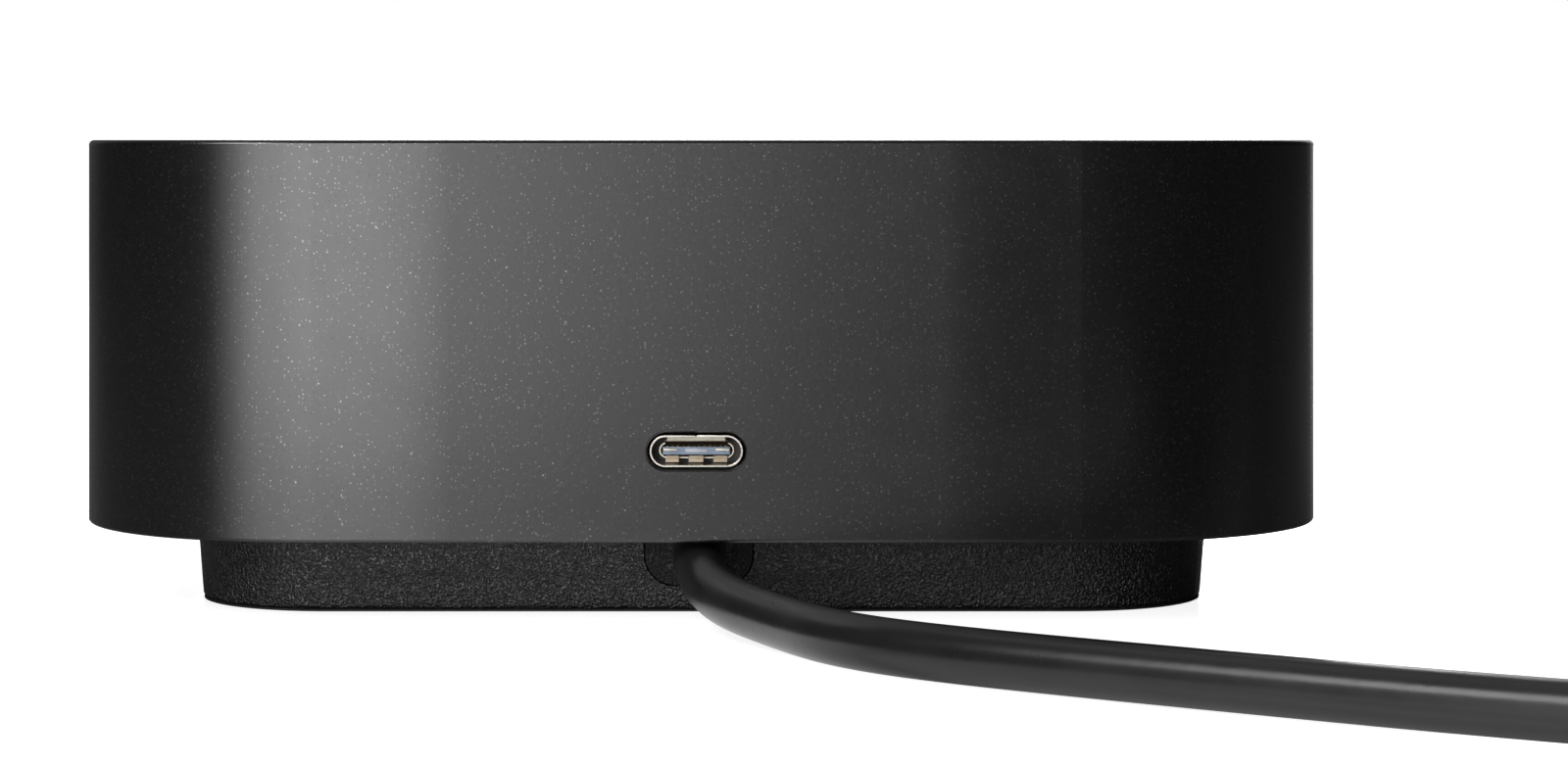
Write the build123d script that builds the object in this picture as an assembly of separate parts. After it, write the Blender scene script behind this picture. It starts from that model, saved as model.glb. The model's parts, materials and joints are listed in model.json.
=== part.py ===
from build123d import *
import math
import os

# A square desktop docking station: a moulded housing stands on a smaller plinth, a
# USB-C socket is low in its front wall, and a captive cable leaves the plinth below it.
# Millimetres. The origin is on the table under the middle, +Z up, the front faces -Y.

# ---- housing ----
SIDE = 122.0             # square footprint
HEIGHT = 45.5            # table to the top face
BODY_BOTTOM = 7.8        # table to the housing's lower edge
CORNER_R = 25.0          # vertical corners
WALL = 2.2
ROOF = 2.4
TOP_EDGE_R = 0.5
LOWER_EDGE_R = 0.35
RIB_THICK = 1.2
RIB_DROP = 8.0           # how far the roof ribs hang down
FIT = 0.2                # clearance round an inserted piece

# ---- plinth: a tray that closes the housing from below ----
PLINTH_INSET = 10.6      # from the housing's side to the plinth's
PLINTH_DRAFT = 4.5       # degrees
PLINTH_FOOT_R = 0.5
TRAY_WALL = 3.2
TRAY_FLOOR = 1.4
FLANGE_RISE = 0.8        # the flange sits this far above the housing's lower edge
FLANGE_THICK = 2.0
FLANGE_RIM = 1.2         # stiffening rim along the flange's edge
SOLE_THICK = 1.2
SOLE_SEAT = 1.0          # recess that the rubber sole is glued into
SOLE_MARGIN = 1.8

# ---- screws through the tray into the housing ----
SCREW_SIDE_INSET = 7.2   # tray's inner wall to a column's middle
SCREW_FRONT_INSET = 9.2
SCREW_REAR_GAP = 1.8     # rear boss to the deepest rear socket
SCREW_R = 1.2
SCREW_BITE = 10.0
SCREW_HEAD_R = 2.75
SCREW_HEAD_H = 2.0
SCREW_SEAT = 3.0         # material between head and column top
BOSS_R = 3.4
COLUMN_R = 4.2
THREAD_GAP = 0.05

# ---- main board ----
USB_C_Z = 16.4           # height of the front socket's middle
BOARD_THICK = 1.6
BOARD_GAP = 2.2          # board edge to housing wall
BOARD_POST_R = 2.8       # the posts stand on the flange, beside the tray's opening
BOARD_POST_INSET = 2.2   # tray's inner front wall to a post's middle
BOARD_SCREW_R = 1.0
BOARD_SCREW_HEAD_R = 2.2
BOARD_SCREW_HEAD_H = 1.5
BOARD_SCREW_BITE = 3.0

# ---- front USB-C socket ----
USB_C_W = 8.94
USB_C_H = 3.2
USB_C_SHEET = 0.28
USB_C_LENGTH = 8.2
USB_C_SETBACK = 0.2      # socket mouth behind the wall's face
USB_C_GAP = 0.3          # dark gap between socket and wall
TONGUE_W = 6.3
TONGUE_H = 0.65
TONGUE_SETBACK = 0.6
TONGUE_ROOT = 1.6        # thickness of the insert behind the tongue
CONTACT_PITCH = 0.5
CONTACT_W = 0.25
CONTACT_THICK = 0.05
CONTACT_SETBACK = 0.8    # from the tongue's end
CONTACT_LENGTH = 3.4
CONTACTS_PER_ROW = 12
SPRING_W = 5.9           # contact springs on the shell's floor and roof
SPRING_THICK = 0.16
SPRING_SETBACK = 1.0
SPRING_NOTCH_W = 0.94
SPRING_NOTCH = 1.6
SPRING_NOTCH_X = 1.15

# ---- side sockets ----
USB_A_W = 13.1
USB_A_H = 5.7
USB_A_LENGTH = 14.0
USB_A_SHEET = 0.3
USB_A_TONGUE_W = 11.1
USB_A_TONGUE_H = 1.85
USB_A_TONGUE_LENGTH = 8.8
USB_A_TONGUE_DROP = 0.85 # from the shell's inside to the tongue
USB_A_ROOT = 3.5         # thickness of the insert behind the tongue
INSERT_GAP = 0.05        # round a plastic insert in its metal shell
SIDE_USB_INSETS = (33.0, 51.0)  # from the front face
AUDIO_INSET = 68.0       # from the front face
AUDIO_BORE_R = 1.8
AUDIO_NOZZLE_R = 2.9
AUDIO_BODY = (12.5, 7.0, 5.4)   # length, width, height
AUDIO_DEPTH = 11.0
AUDIO_BORE_RISE = 0.3    # bore above the middle of the jack's body
LOCK_INSET = 39.0        # from the front face
LOCK_W = 7.0
LOCK_H = 3.0
LOCK_PLATE = (1.5, 17.0, 9.0)   # thickness, width, height
LOCK_PIN_R = 1.0
LOCK_PIN_INSET = 2.2     # from the plate's end
LOCK_PIN_HEAD = 0.7      # the staked head's overhang and thickness
LOCK_Z = 24.0

# ---- rear panel and its sockets, each (width, height, depth) ----
BAY_LIP = 0.8            # the window's edge in front of the panel
BAY_WALL = 1.5
PANEL_SETBACK = 3.8      # the wall's face to the panel's
PANEL_THICK = 1.6
PANEL_MARGIN = 2.0
PANEL_SILL = 0.8         # panel below the board's top
PANEL_CORNER = 1.2
PORT_GAP = 2.0
RJ45 = (16.0, 13.4, 21.0)
USB_STACK = (14.4, 15.6, 17.5)
HDMI = (15.2, 6.0, 11.5)
DP_STACK = (17.8, 13.8, 17.0)
DC_JACK = (10.0, 8.6, 14.0)
PORT_SHEET = 0.4
PORT_BACK = 4.0          # wall behind a stacked socket's mouths
TONGUE_BACK = 1.5        # from the panel's face to a rear tongue's end
RJ45_MOUTH = (11.9, 6.9, 13.5)
RJ45_MOUTH_LOW = 3.9     # main mouth above the board
RJ45_STEPS = ((6.3, 1.3), (3.4, 1.2))   # latch steps below the mouth: width, height
RJ45_LAMP = (2.6, 1.5, 4.0)
RJ45_LAMP_X = 5.2        # from the socket's middle
RJ45_LAMP_Z = 12.1       # above the board
RJ45_WIRE = 0.4
RJ45_WIRE_PITCH = 1.02
RJ45_WIRE_DROP = 1.9
RJ45_WIRE_SETBACK = 2.5
RJ45_WIRE_SLOPE = 1.2    # length of a wire's tapered end
USB_MOUTH = (12.5, 5.1)
USB_MOUTH_LOW = 3.95     # middle of the lower mouth above the board
USB_MOUTH_PITCH = 7.7
HDMI_MOUTH = (14.0, 4.56)
HDMI_CORNER = (1.9, 1.88)
HDMI_TONGUE = (11.2, 1.1)
HDMI_BACK = 1.5
DP_MOUTH = (16.1, 4.8)
DP_MOUTH_LOW = 3.45
DP_MOUTH_PITCH = 6.9
DP_CORNER = 2.0
DP_TONGUE = (12.6, 1.3)
DC_BORE_R = 2.4
DC_PIN_R = 0.35
DC_DEPTH = 9.5
DC_PIN_SETBACK = 1.2

# ---- power button ----
BUTTON_SIDE_INSET = 20.0 # from the right side's face
BUTTON_FRONT_INSET = 45.0
BUTTON_R = 6.0
BUTTON_EDGE_R = 0.3
BUTTON_GAP = 0.25
BUTTON_SETBACK = 0.2     # cap's top below the roof's face
BUTTON_FLANGE = 1.0
BUTTON_FLANGE_LIP = 1.4
BUTTON_TRAVEL = 0.6
BUTTON_STEM_R = 2.0
BUTTON_STEM = 1.6
BUTTON_BOARD = (24.0, 16.0, 1.2)
BUTTON_BOARD_TAIL = 4.0  # the board runs on this far towards the light pipe
BUTTON_POST_R = 2.0
BUTTON_POST_INSET = 2.4  # from the small board's end
BUTTON_POST_Y = 5.2      # behind the button's middle
SMALL_SCREW_R = 0.8
SMALL_SCREW_HEAD_R = 1.6
SMALL_SCREW_HEAD_H = 1.1
SMALL_SCREW_BITE = 3.5
SWITCH_BODY = (6.2, 6.2, 3.4)
PLUNGER_R = 1.6
PLUNGER_RISE = 1.1
PLUNGER_BORE = 2.4
PIPE_R = 1.0
PIPE_OFFSET = 9.6        # light pipe from the button's middle
PIPE_COLLAR = 0.8
LED = (1.6, 1.2, 0.9)
PIPE_GAP = 0.3           # above the lamp
RIBBON_OFFSET = 5.0      # ribbon beside the button's middle
RIBBON_W = 5.0
RIBBON_THICK = 0.3
RIBBON_BOW = 7.0
RIBBON_BEND_R = 2.0
FFC = (7.0, 4.0, 1.6)
FFC_OFFSET = 3.0         # in front of the button's middle

# ---- captive cable ----
CORD_R = 2.425
CORD_EXIT_Z = 6.1
COLLAR_W = 10.3
COLLAR_LOW = 2.6
COLLAR_CORNER = 2.9
COLLAR_SEAM = 0.17
COLLAR_PROUD = 0.15
COLLAR_RING = 0.55       # ring round the cable's mouth
COLLAR_RING_AT = 0.4     # ring's start in front of the cable's
COLLAR_LIP = 0.9
COLLAR_BARREL_R = 3.4
COLLAR_BARREL = 5.0
COLLAR_FLANGE = 1.2      # the collar's flange inside the tray's wall
CLAMP_INSET = 11.2       # tray's inner front wall to the clamp
CLAMP_WIDTH = 6.0
CLAMP_SPAN = 8.0
CLAMP_POST_R = 2.4
CLAMP_COVER = 1.4        # clamp above the cable
TAIL_INSETS = (17.2, 28.2, 36.2)   # corners of the cable inside, from the same wall
TAIL_RISE = 4.2
TAIL_BEND_R = 8.0
CONNECTOR = (14.0, 8.0)
BALLAST_THICK = 4.4
BALLAST_NOTCH = 1.0      # beside the clamp

CORD_ROUTE = [           # y from the plinth's front
    (0.0, 0.2, 6.1), (0.1, -8.8, 5.1), (2.5, -18.0, 3.4), (8.2, -27.8, 2.55),
    (13.0, -37.4, 2.45), (21.0, -46.0, 2.45), (38.0, -58.4, 2.45),
    (68.0, -78.6, 2.45), (94.0, -96.2, 3.35),
]
COIL_AT = (112.1, -69.7) # y from the plinth's front
COIL_OUTER = 32.1        # middle of the outermost turn
COIL_INNER = 20.0        # middle of the innermost turn
TIE_THICK = 0.9
TIE_WIDTH = 12.0
CORD_END_ROUTE = [       # from the coil's middle, up on to it and into the plug
    (12.4, 28.5, 8.2), (0.0, 30.3, 9.6), (-12.0, 26.8, 11.6), (-21.4, 18.8, 13.3),
    (-26.5, 7.6, 13.8), (-26.5, -2.4, 13.8),
]
PLUG_W = 12.2
PLUG_H = 6.4
PLUG_LENGTH = 19.0
PLUG_RELIEF = 7.0
PLUG_LIP = 0.35          # the relief's thin end round the cable
PLUG_TIP = (8.25, 2.4, 6.65)
PLUG_SHEET = 0.25

# ---- on the main board ----
DISPLAY_CHIP = (14.0, 1.2)       # side, height
DISPLAY_CHIP_Y = 4.0
HUB_CHIP = (9.0, 1.2)
HUB_CHIP_Y = -13.0
LAN_CHIP = (6.5, 0.9)
LAN_CHIP_INSET = (11.0, 7.0)     # from the rear left boss, towards the middle
POWER_CHIPS = ((22.0, -32.0, 7.0, 0.9), (8.0, -40.0, 5.0, 0.8))   # x, y, side, height
CHIP_CORNER = 0.6
PAD_THICK = 0.6
SINK = (36.0, 38.0, 2.2, 15.0)   # width, depth, base, overall height
SINK_Y = -2.0
SINK_SCREW_INSET = 3.4           # from the heatsink's corner
SINK_FOOT_R = 2.0
SINK_WELL_R = 2.6
SINK_SCREW_HEAD = (2.0, 1.2)
FIN_THICK = 1.1
FIN_COUNT = 9
TRANSFORMER = (12.0, 9.0, 5.6)
TRANSFORMER_INSET = (11.0, 13.0)  # from the heatsink's edge, and in front of the network chip
INDUCTOR = (7.2, 4.6)            # side, height
INDUCTOR_CORNER = 1.2
INDUCTOR_GAP = 6.0               # heatsink's edge to an inductor's middle
INDUCTOR_PITCH = 10.0
INDUCTOR_SETBACK = 12.0          # in front of the nearest capacitors
CAPACITOR = (3.15, 7.7)          # radius, height
CAPACITOR_INSET = (2.0, 9.0)     # from the rear right boss
CAPACITOR_PITCH = (9.0, 8.0)
INPUT_CAPACITOR_INSET = (20.0, 2.0)   # from the front left boss
CAPACITOR_FOOT = 0.9

# ---- what follows from them ----
HALF = SIDE / 2
INNER_HALF = HALF - WALL
INNER_R = CORNER_R - WALL
ROOF_LOW = HEIGHT - ROOF
FLANGE_LOW = BODY_BOTTOM + FLANGE_RISE
FLANGE_TOP = FLANGE_LOW + FLANGE_THICK
PLINTH_HALF = HALF - PLINTH_INSET
PLINTH_R = CORNER_R - PLINTH_INSET
PLINTH_LOW = SOLE_THICK - SOLE_SEAT
FLOOR_TOP = SOLE_THICK + TRAY_FLOOR
TRAY_HALF = PLINTH_HALF - TRAY_WALL
TRAY_R = PLINTH_R - TRAY_WALL
BOARD_TOP = USB_C_Z - USB_C_H / 2
BOARD_LOW = BOARD_TOP - BOARD_THICK
BOARD_HALF = INNER_HALF - BOARD_GAP
BOARD_POST_X = TRAY_HALF + BOARD_POST_R
BOARD_POST_Y = TRAY_HALF - BOARD_POST_INSET
PANEL_FACE = HALF - PANEL_SETBACK
PANEL_BACK = PANEL_FACE - PANEL_THICK
PORTS = {"rj45": RJ45, "usb": USB_STACK, "hdmi": HDMI, "dp": DP_STACK, "dc": DC_JACK}
PANEL_W = sum(p[0] for p in PORTS.values()) + PORT_GAP * (len(PORTS) - 1) + 2 * PANEL_MARGIN
PANEL_LOW = BOARD_TOP - PANEL_SILL
PANEL_TOP = BOARD_TOP + max(p[1] for p in PORTS.values()) + PANEL_MARGIN - PANEL_SILL
BAY_BACK = PANEL_BACK - FIT
BOARD_REAR = BAY_BACK - FIT
USB_C_MOUTH = -HALF + USB_C_SETBACK
SIDE_USB_Y = [inset - HALF for inset in SIDE_USB_INSETS]
AUDIO_Y = AUDIO_INSET - HALF
AUDIO_Z = BOARD_TOP + AUDIO_BODY[2] / 2 + AUDIO_BORE_RISE
LOCK_Y = LOCK_INSET - HALF
LOCK_PINS = [LOCK_Y + side * (LOCK_PLATE[1] / 2 - LOCK_PIN_INSET) for side in (-1, 1)]
BUTTON_X = HALF - BUTTON_SIDE_INSET
BUTTON_Y = BUTTON_FRONT_INSET - HALF
BUTTON_POSTS = [(BUTTON_X + side * (BUTTON_BOARD[0] / 2 - BUTTON_POST_INSET),
                 BUTTON_Y + BUTTON_POST_Y) for side in (-1, 1)]
RIBBON_X = BUTTON_X + RIBBON_OFFSET
RIBBON_Y = BUTTON_Y - FFC_OFFSET
CAP_TOP = HEIGHT - BUTTON_SETBACK
CAP_FLANGE_TOP = ROOF_LOW - FIT
STEM_LOW = CAP_FLANGE_TOP - BUTTON_FLANGE - BUTTON_STEM
PLUNGER_TOP = STEM_LOW - THREAD_GAP
SWITCH_TOP = PLUNGER_TOP - PLUNGER_RISE
BUTTON_BOARD_TOP = SWITCH_TOP - SWITCH_BODY[2]
BUTTON_BOARD_LOW = BUTTON_BOARD_TOP - BUTTON_BOARD[2]
COIL_PLACE = Pos(COIL_AT[0], COIL_AT[1] - PLINTH_HALF, 0)
PLUG_PLACE = COIL_PLACE * Pos(*CORD_END_ROUTE[-1])   # the cord's end, which points towards -Y
CLAMP_Y = CLAMP_INSET - TRAY_HALF
CLAMP_TOP = CORD_EXIT_Z + CORD_R + CLAMP_COVER
CORNERS = [(x, y) for x in (-1, 1) for y in (-1, 1)]
SCREW_X = TRAY_HALF - SCREW_SIDE_INSET
SCREW_FRONT_Y = SCREW_FRONT_INSET - TRAY_HALF
SCREW_REAR_Y = PANEL_FACE - max(p[2] for p in PORTS.values()) - BOSS_R - SCREW_REAR_GAP
SCREWS = [(sx * SCREW_X, y) for sx in (-1, 1) for y in (SCREW_FRONT_Y, SCREW_REAR_Y)]
SINK_SCREWS = [(sx * (SINK[0] / 2 - SINK_SCREW_INSET),
                SINK_Y + sy * (SINK[1] / 2 - SINK_SCREW_INSET)) for sx, sy in CORNERS]
SINK_LOW = BOARD_TOP + max(DISPLAY_CHIP[1], HUB_CHIP[1]) + PAD_THICK
LAN_CHIP_AT = (LAN_CHIP_INSET[0] - SCREW_X, SCREW_REAR_Y - LAN_CHIP_INSET[1])
TRANSFORMER_AT = (-SINK[0] / 2 - TRANSFORMER_INSET[0], LAN_CHIP_AT[1] - TRANSFORMER_INSET[1])
CAPACITORS = [(SCREW_X - CAPACITOR_INSET[0] - i * CAPACITOR_PITCH[0],
               SCREW_REAR_Y - CAPACITOR_INSET[1] - j * CAPACITOR_PITCH[1])
              for i in range(2) for j in range(2)]
INDUCTORS = [(SINK[0] / 2 + INDUCTOR_GAP,
              min(y for _, y in CAPACITORS) - INDUCTOR_SETBACK - i * INDUCTOR_PITCH) for i in range(3)]
INPUT_CAPACITOR = (INPUT_CAPACITOR_INSET[0] - SCREW_X, SCREW_FRONT_Y - INPUT_CAPACITOR_INSET[1])


def rounded_prism(side_x, side_y, radius, low, high, x=0.0, y=0.0):
    """An upright prism with rounded vertical edges, between two heights."""
    return extrude(Pos(x, y, low) * RectangleRounded(side_x, side_y, radius), high - low)


def block(x0, x1, y0, y1, z0, z1):
    """A plain block between two corners."""
    return Pos((x0 + x1) / 2, (y0 + y1) / 2, (z0 + z1) / 2) * Box(x1 - x0, y1 - y0, z1 - z0)


def slab(x, y, width, depth, low, high):
    """A block with its middle over a point, between two heights."""
    return Pos(x, y, (low + high) / 2) * Box(width, depth, high - low)


def rod(x, y, radius, low, high):
    """An upright cylinder between two heights."""
    return Pos(x, y, (low + high) / 2) * Cylinder(radius, high - low)


def along_y(sketch, x, z, front, back):
    """Extrude a sketch, drawn as seen from the front, from front to back."""
    return extrude(Pos(x, front, z) * Rot(90, 0, 0) * sketch, -(back - front))


def along_x(sketch, y, z, low, high):
    """Extrude a sketch, its width along Y and height along Z, from low to high."""
    return extrude(Plane((low, y, z), x_dir=(0, 1, 0), z_dir=(1, 0, 0)) * sketch, high - low)


def screw(x, y, seat, radius, bite, head_r, head_h, up=True):
    """A pan-head screw whose shank goes up, or down, from its seat."""
    way = 1 if up else -1
    profile = Polyline(
        (0, way * bite), (radius, way * bite), (radius, 0), (head_r, 0),
        (head_r, -way * head_h * 0.5), (head_r * 0.7, -way * head_h), (0, -way * head_h),
        close=True,
    )
    return Pos(x, y, seat) * revolve(Plane.XZ * make_face(profile), Axis.Z)


# ---------------------------------------------------------------- housing

def port_centres():
    """The middle of each rear socket along X, in order from -X."""
    centres, edge = {}, -PANEL_W / 2 + PANEL_MARGIN
    for name, size in PORTS.items():
        centres[name] = edge + size[0] / 2
        edge += size[0] + PORT_GAP
    return centres


def boss_cores():
    """The four screw bosses under the roof, with ribs out to the walls."""
    solids = []
    reach = INNER_HALF + WALL / 2
    low, high = ROOF_LOW - RIB_DROP, ROOF_LOW + ROOF / 2
    for x, y in SCREWS:
        solids.append(rod(x, y, BOSS_R, FLANGE_TOP, high))
        wall_x, wall_y = math.copysign(reach, x), math.copysign(reach, y)
        solids.append(block(*sorted((x, wall_x)), y - RIB_THICK / 2, y + RIB_THICK / 2, low, high))
        solids.append(block(x - RIB_THICK / 2, x + RIB_THICK / 2, *sorted((y, wall_y)), low, high))
    return solids


def bay_window(spread, front, back):
    """The rear bay's opening, spread wider than the panel's visible edge."""
    width = PANEL_W + 2 * FIT + 2 * (spread - BAY_LIP)
    height = PANEL_TOP - PANEL_LOW + 2 * FIT + 2 * (spread - BAY_LIP)
    middle = (PANEL_TOP + PANEL_LOW) / 2
    return along_y(RectangleRounded(width, height, 0.8 + spread), 0, middle, front, back)


def button_bosses():
    """Two posts under the roof that carry the button's board."""
    return [rod(x, y, BUTTON_POST_R, BUTTON_BOARD_TOP, ROOF_LOW + ROOF / 2) for x, y in BUTTON_POSTS]


def lock_pins():
    """Two staked pins that hold the lock plate against the wall's inside."""
    seat = INNER_HALF - LOCK_PLATE[0] - THREAD_GAP
    solids = []
    for y in LOCK_PINS:
        solids.append(along_x(Circle(LOCK_PIN_R), y, LOCK_Z, seat, INNER_HALF + WALL / 2))
        solids.append(along_x(Circle(LOCK_PIN_R + LOCK_PIN_HEAD), y, LOCK_Z, seat - LOCK_PIN_HEAD, seat))
    return solids


def housing():
    """The moulded shell, open below: bosses, ribs, rear bay and every socket's window."""
    outer = rounded_prism(SIDE, SIDE, CORNER_R, BODY_BOTTOM, HEIGHT)
    outer = fillet(outer.faces().sort_by(Axis.Z)[-1].edges(), TOP_EDGE_R)
    outer = fillet(outer.faces().sort_by(Axis.Z)[0].edges(), LOWER_EDGE_R)
    side = SIDE - WALL
    envelope = rounded_prism(side, side, CORNER_R - WALL / 2, BODY_BOTTOM, HEIGHT - ROOF / 2)
    shell = outer - rounded_prism(2 * INNER_HALF, 2 * INNER_HALF, INNER_R, BODY_BOTTOM, ROOF_LOW)
    tunnel = bay_window(BAY_LIP + BAY_WALL, BAY_BACK, HALF)
    for solid in [tunnel, *boss_cores(), *button_bosses()]:
        shell += solid & envelope
    for solid in lock_pins():
        shell += solid
    shell -= bay_window(BAY_LIP, BAY_BACK, PANEL_FACE)
    shell -= bay_window(0.0, PANEL_FACE, HALF + 1)
    for x, y in SCREWS:
        shell -= rod(x, y, SCREW_R + THREAD_GAP, FLANGE_TOP, FLANGE_TOP + SCREW_BITE + 1)
    for x, y in BUTTON_POSTS:
        tip = BUTTON_BOARD_TOP + SMALL_SCREW_BITE
        shell -= rod(x, y, SMALL_SCREW_R + THREAD_GAP, BUTTON_BOARD_TOP, tip + 0.5)
    return shell - side_windows() - front_window() - roof_windows()


def front_window():
    """The cut-out for the front socket."""
    slot = SlotOverall(USB_C_W + 2 * USB_C_GAP, USB_C_H + 2 * USB_C_GAP)
    return along_y(slot, 0, USB_C_Z, -HALF - 1, -INNER_HALF + 1)


def side_windows():
    """Cut-outs for the left side's sockets and the right side's lock slot."""
    cut = along_x(Circle(AUDIO_NOZZLE_R + FIT), AUDIO_Y, AUDIO_Z, -HALF - 1, -INNER_HALF + 1)
    window = RectangleRounded(USB_A_W + 2 * FIT, USB_A_H + 2 * FIT, 0.8)
    for y in SIDE_USB_Y:
        cut += along_x(window, y, BOARD_TOP + USB_A_H / 2, -HALF - 1, -INNER_HALF + 1)
    slot = RectangleRounded(LOCK_W + FIT, LOCK_H + FIT, 0.6)
    return cut + along_x(slot, LOCK_Y, LOCK_Z, INNER_HALF - 0.01, HALF + 1)


def roof_windows():
    """The round holes for the button's cap and the light pipe beside it."""
    cut = rod(BUTTON_X, BUTTON_Y, BUTTON_R + BUTTON_GAP, ROOF_LOW - 0.01, HEIGHT + 1)
    return cut + rod(BUTTON_X, BUTTON_Y + PIPE_OFFSET, PIPE_R + THREAD_GAP, ROOF_LOW - 0.01, HEIGHT + 1)


# ---------------------------------------------------------------- plinth

def plinth_form(grow=0.0):
    """The plinth's drafted outside, from its foot up to the flange."""
    side = 2 * (PLINTH_HALF + grow)
    top = Pos(0, 0, FLANGE_LOW) * RectangleRounded(side, side, PLINTH_R + grow)
    return extrude(top, FLANGE_LOW - PLINTH_LOW, dir=(0, 0, -1), taper=PLINTH_DRAFT)


def collar_outline(grow=0.0):
    """The cable collar's face: straight top, rounded lower corners."""
    height = FLANGE_LOW - COLLAR_LOW + grow
    width = COLLAR_W + 2 * grow
    face = Rectangle(width, height)
    return fillet(face.vertices().sort_by(Axis.Y)[:2], COLLAR_CORNER + grow)


def collar_prism(grow, front, back):
    """The collar's outline carried along Y, just under the flange."""
    middle = (FLANGE_LOW + COLLAR_LOW - grow) / 2
    return along_y(collar_outline(grow), 0, middle, front, back)


def base_tray():
    """The plinth, its flange inside the housing, screw columns, board posts and clamp posts."""
    foot = PLINTH_LOW
    body = plinth_form()
    body = fillet(body.faces().sort_by(Axis.Z)[0].edges(), PLINTH_FOOT_R)
    side = 2 * (INNER_HALF - FIT)
    body += rounded_prism(side, side, INNER_R - FIT, FLANGE_LOW, FLANGE_TOP + FLANGE_RIM)
    lip = side - 2 * FLANGE_RIM
    body -= rounded_prism(lip, lip, INNER_R - FIT - FLANGE_RIM, FLANGE_TOP, FLANGE_TOP + FLANGE_RIM)
    body -= rounded_prism(2 * TRAY_HALF, 2 * TRAY_HALF, TRAY_R, FLOOR_TOP, FLANGE_TOP)
    sole = 2 * (PLINTH_HALF - SOLE_MARGIN)
    body -= rounded_prism(sole, sole, PLINTH_R - SOLE_MARGIN, foot - 1, SOLE_THICK)
    seat = FLANGE_TOP - SCREW_SEAT
    for x, y in SCREWS:
        body += rod(x, y, COLUMN_R, SOLE_THICK, FLANGE_TOP)
        body -= rod(x, y, SCREW_HEAD_R + FIT, foot, seat)
        body -= rod(x, y, SCREW_R + FIT, seat, FLANGE_TOP)
    for sx, sy in CORNERS:
        px, py = sx * BOARD_POST_X, sy * BOARD_POST_Y
        body += rod(px, py, BOARD_POST_R, FLANGE_LOW, BOARD_LOW)
        body -= rod(px, py, BOARD_SCREW_R + THREAD_GAP, BOARD_LOW - BOARD_SCREW_BITE, BOARD_LOW)
    for side in (-1, 1):
        body += rod(side * CLAMP_SPAN, CLAMP_Y, CLAMP_POST_R, SOLE_THICK, CORD_EXIT_Z)
        body -= rod(side * CLAMP_SPAN, CLAMP_Y, SMALL_SCREW_R + THREAD_GAP, FLOOR_TOP, CORD_EXIT_Z)
    return body - collar_prism(COLLAR_SEAM, -HALF, -TRAY_HALF + 1)


def rubber_sole():
    """The rubber sole glued under the plinth, with softened lower edges."""
    side = 2 * (PLINTH_HALF - SOLE_MARGIN - FIT)
    sole = rounded_prism(side, side, PLINTH_R - SOLE_MARGIN - FIT, 0, SOLE_THICK)
    return chamfer(sole.faces().sort_by(Axis.Z)[0].edges(), 0.3)


def base_screws():
    """Four screws up through the tray's columns into the housing's bosses."""
    seat = FLANGE_TOP - SCREW_SEAT
    bite = SCREW_SEAT + SCREW_BITE
    return [screw(x, y, seat, SCREW_R, bite, SCREW_HEAD_R, SCREW_HEAD_H) for x, y in SCREWS]


def ballast_plate():
    """A steel plate on the tray's floor, cut clear of columns, cable and clamp."""
    side = 2 * (TRAY_HALF - FIT)
    plate = rounded_prism(side, side, TRAY_R - FIT, FLOOR_TOP, FLOOR_TOP + BALLAST_THICK)
    for x, y in SCREWS:
        plate -= rod(x, y, COLUMN_R + FIT, FLOOR_TOP - 1, FLANGE_TOP)
    notch = CLAMP_SPAN + CLAMP_POST_R + FIT + BALLAST_NOTCH
    return plate - block(-notch, notch, -HALF, TAIL_INSETS[1] - TRAY_HALF, FLOOR_TOP - 1, FLANGE_TOP)


# ---------------------------------------------------------------- cable

def cable_collar():
    """The moulded strain relief: face plate, inner flange and barrel round the cable."""
    plate = collar_prism(0, -HALF, -TRAY_HALF) & plinth_form(COLLAR_PROUD)
    plate -= block(-HALF, HALF, -HALF, HALF, FLANGE_LOW - COLLAR_SEAM, FLANGE_TOP)
    ring_face = CORD_ROUTE[0][1] - PLINTH_HALF - COLLAR_RING_AT - COLLAR_RING
    ring = along_y(Circle(CORD_R + COLLAR_LIP), 0, CORD_EXIT_Z, ring_face, -TRAY_HALF)
    barrel = along_y(Circle(COLLAR_BARREL_R), 0, CORD_EXIT_Z, -TRAY_HALF, -TRAY_HALF + COLLAR_BARREL)
    inner = collar_prism(-COLLAR_SEAM, -TRAY_HALF, -TRAY_HALF + COLLAR_FLANGE)
    body = plate + (ring & block(-HALF, HALF, -HALF, HALF, 0, FLANGE_LOW - COLLAR_SEAM)) + barrel + inner
    return body


def cord_tail():
    """The cable inside the plinth, from the collar under the clamp to its connector."""
    steps = zip((COLLAR_BARREL, *TAIL_INSETS), (0, 0, TAIL_RISE, TAIL_RISE))
    points = [Vector(0, step - TRAY_HALF, CORD_EXIT_Z + rise) for step, rise in steps]
    path = FilletPolyline(*points, radius=TAIL_BEND_R)
    return sweep(Plane(origin=path @ 0, z_dir=path % 0) * Circle(CORD_R), path)


def cable_connector():
    """The wire-to-board connector under the main board."""
    width, depth = CONNECTOR
    front = TAIL_INSETS[-1] - TRAY_HALF
    low = CORD_EXIT_Z + TAIL_RISE - CORD_R - FIT
    body = slab(0, front + depth / 2, width, depth, low, BOARD_LOW)
    return chamfer(body.edges().filter_by(Axis.Z), 0.8)


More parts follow.
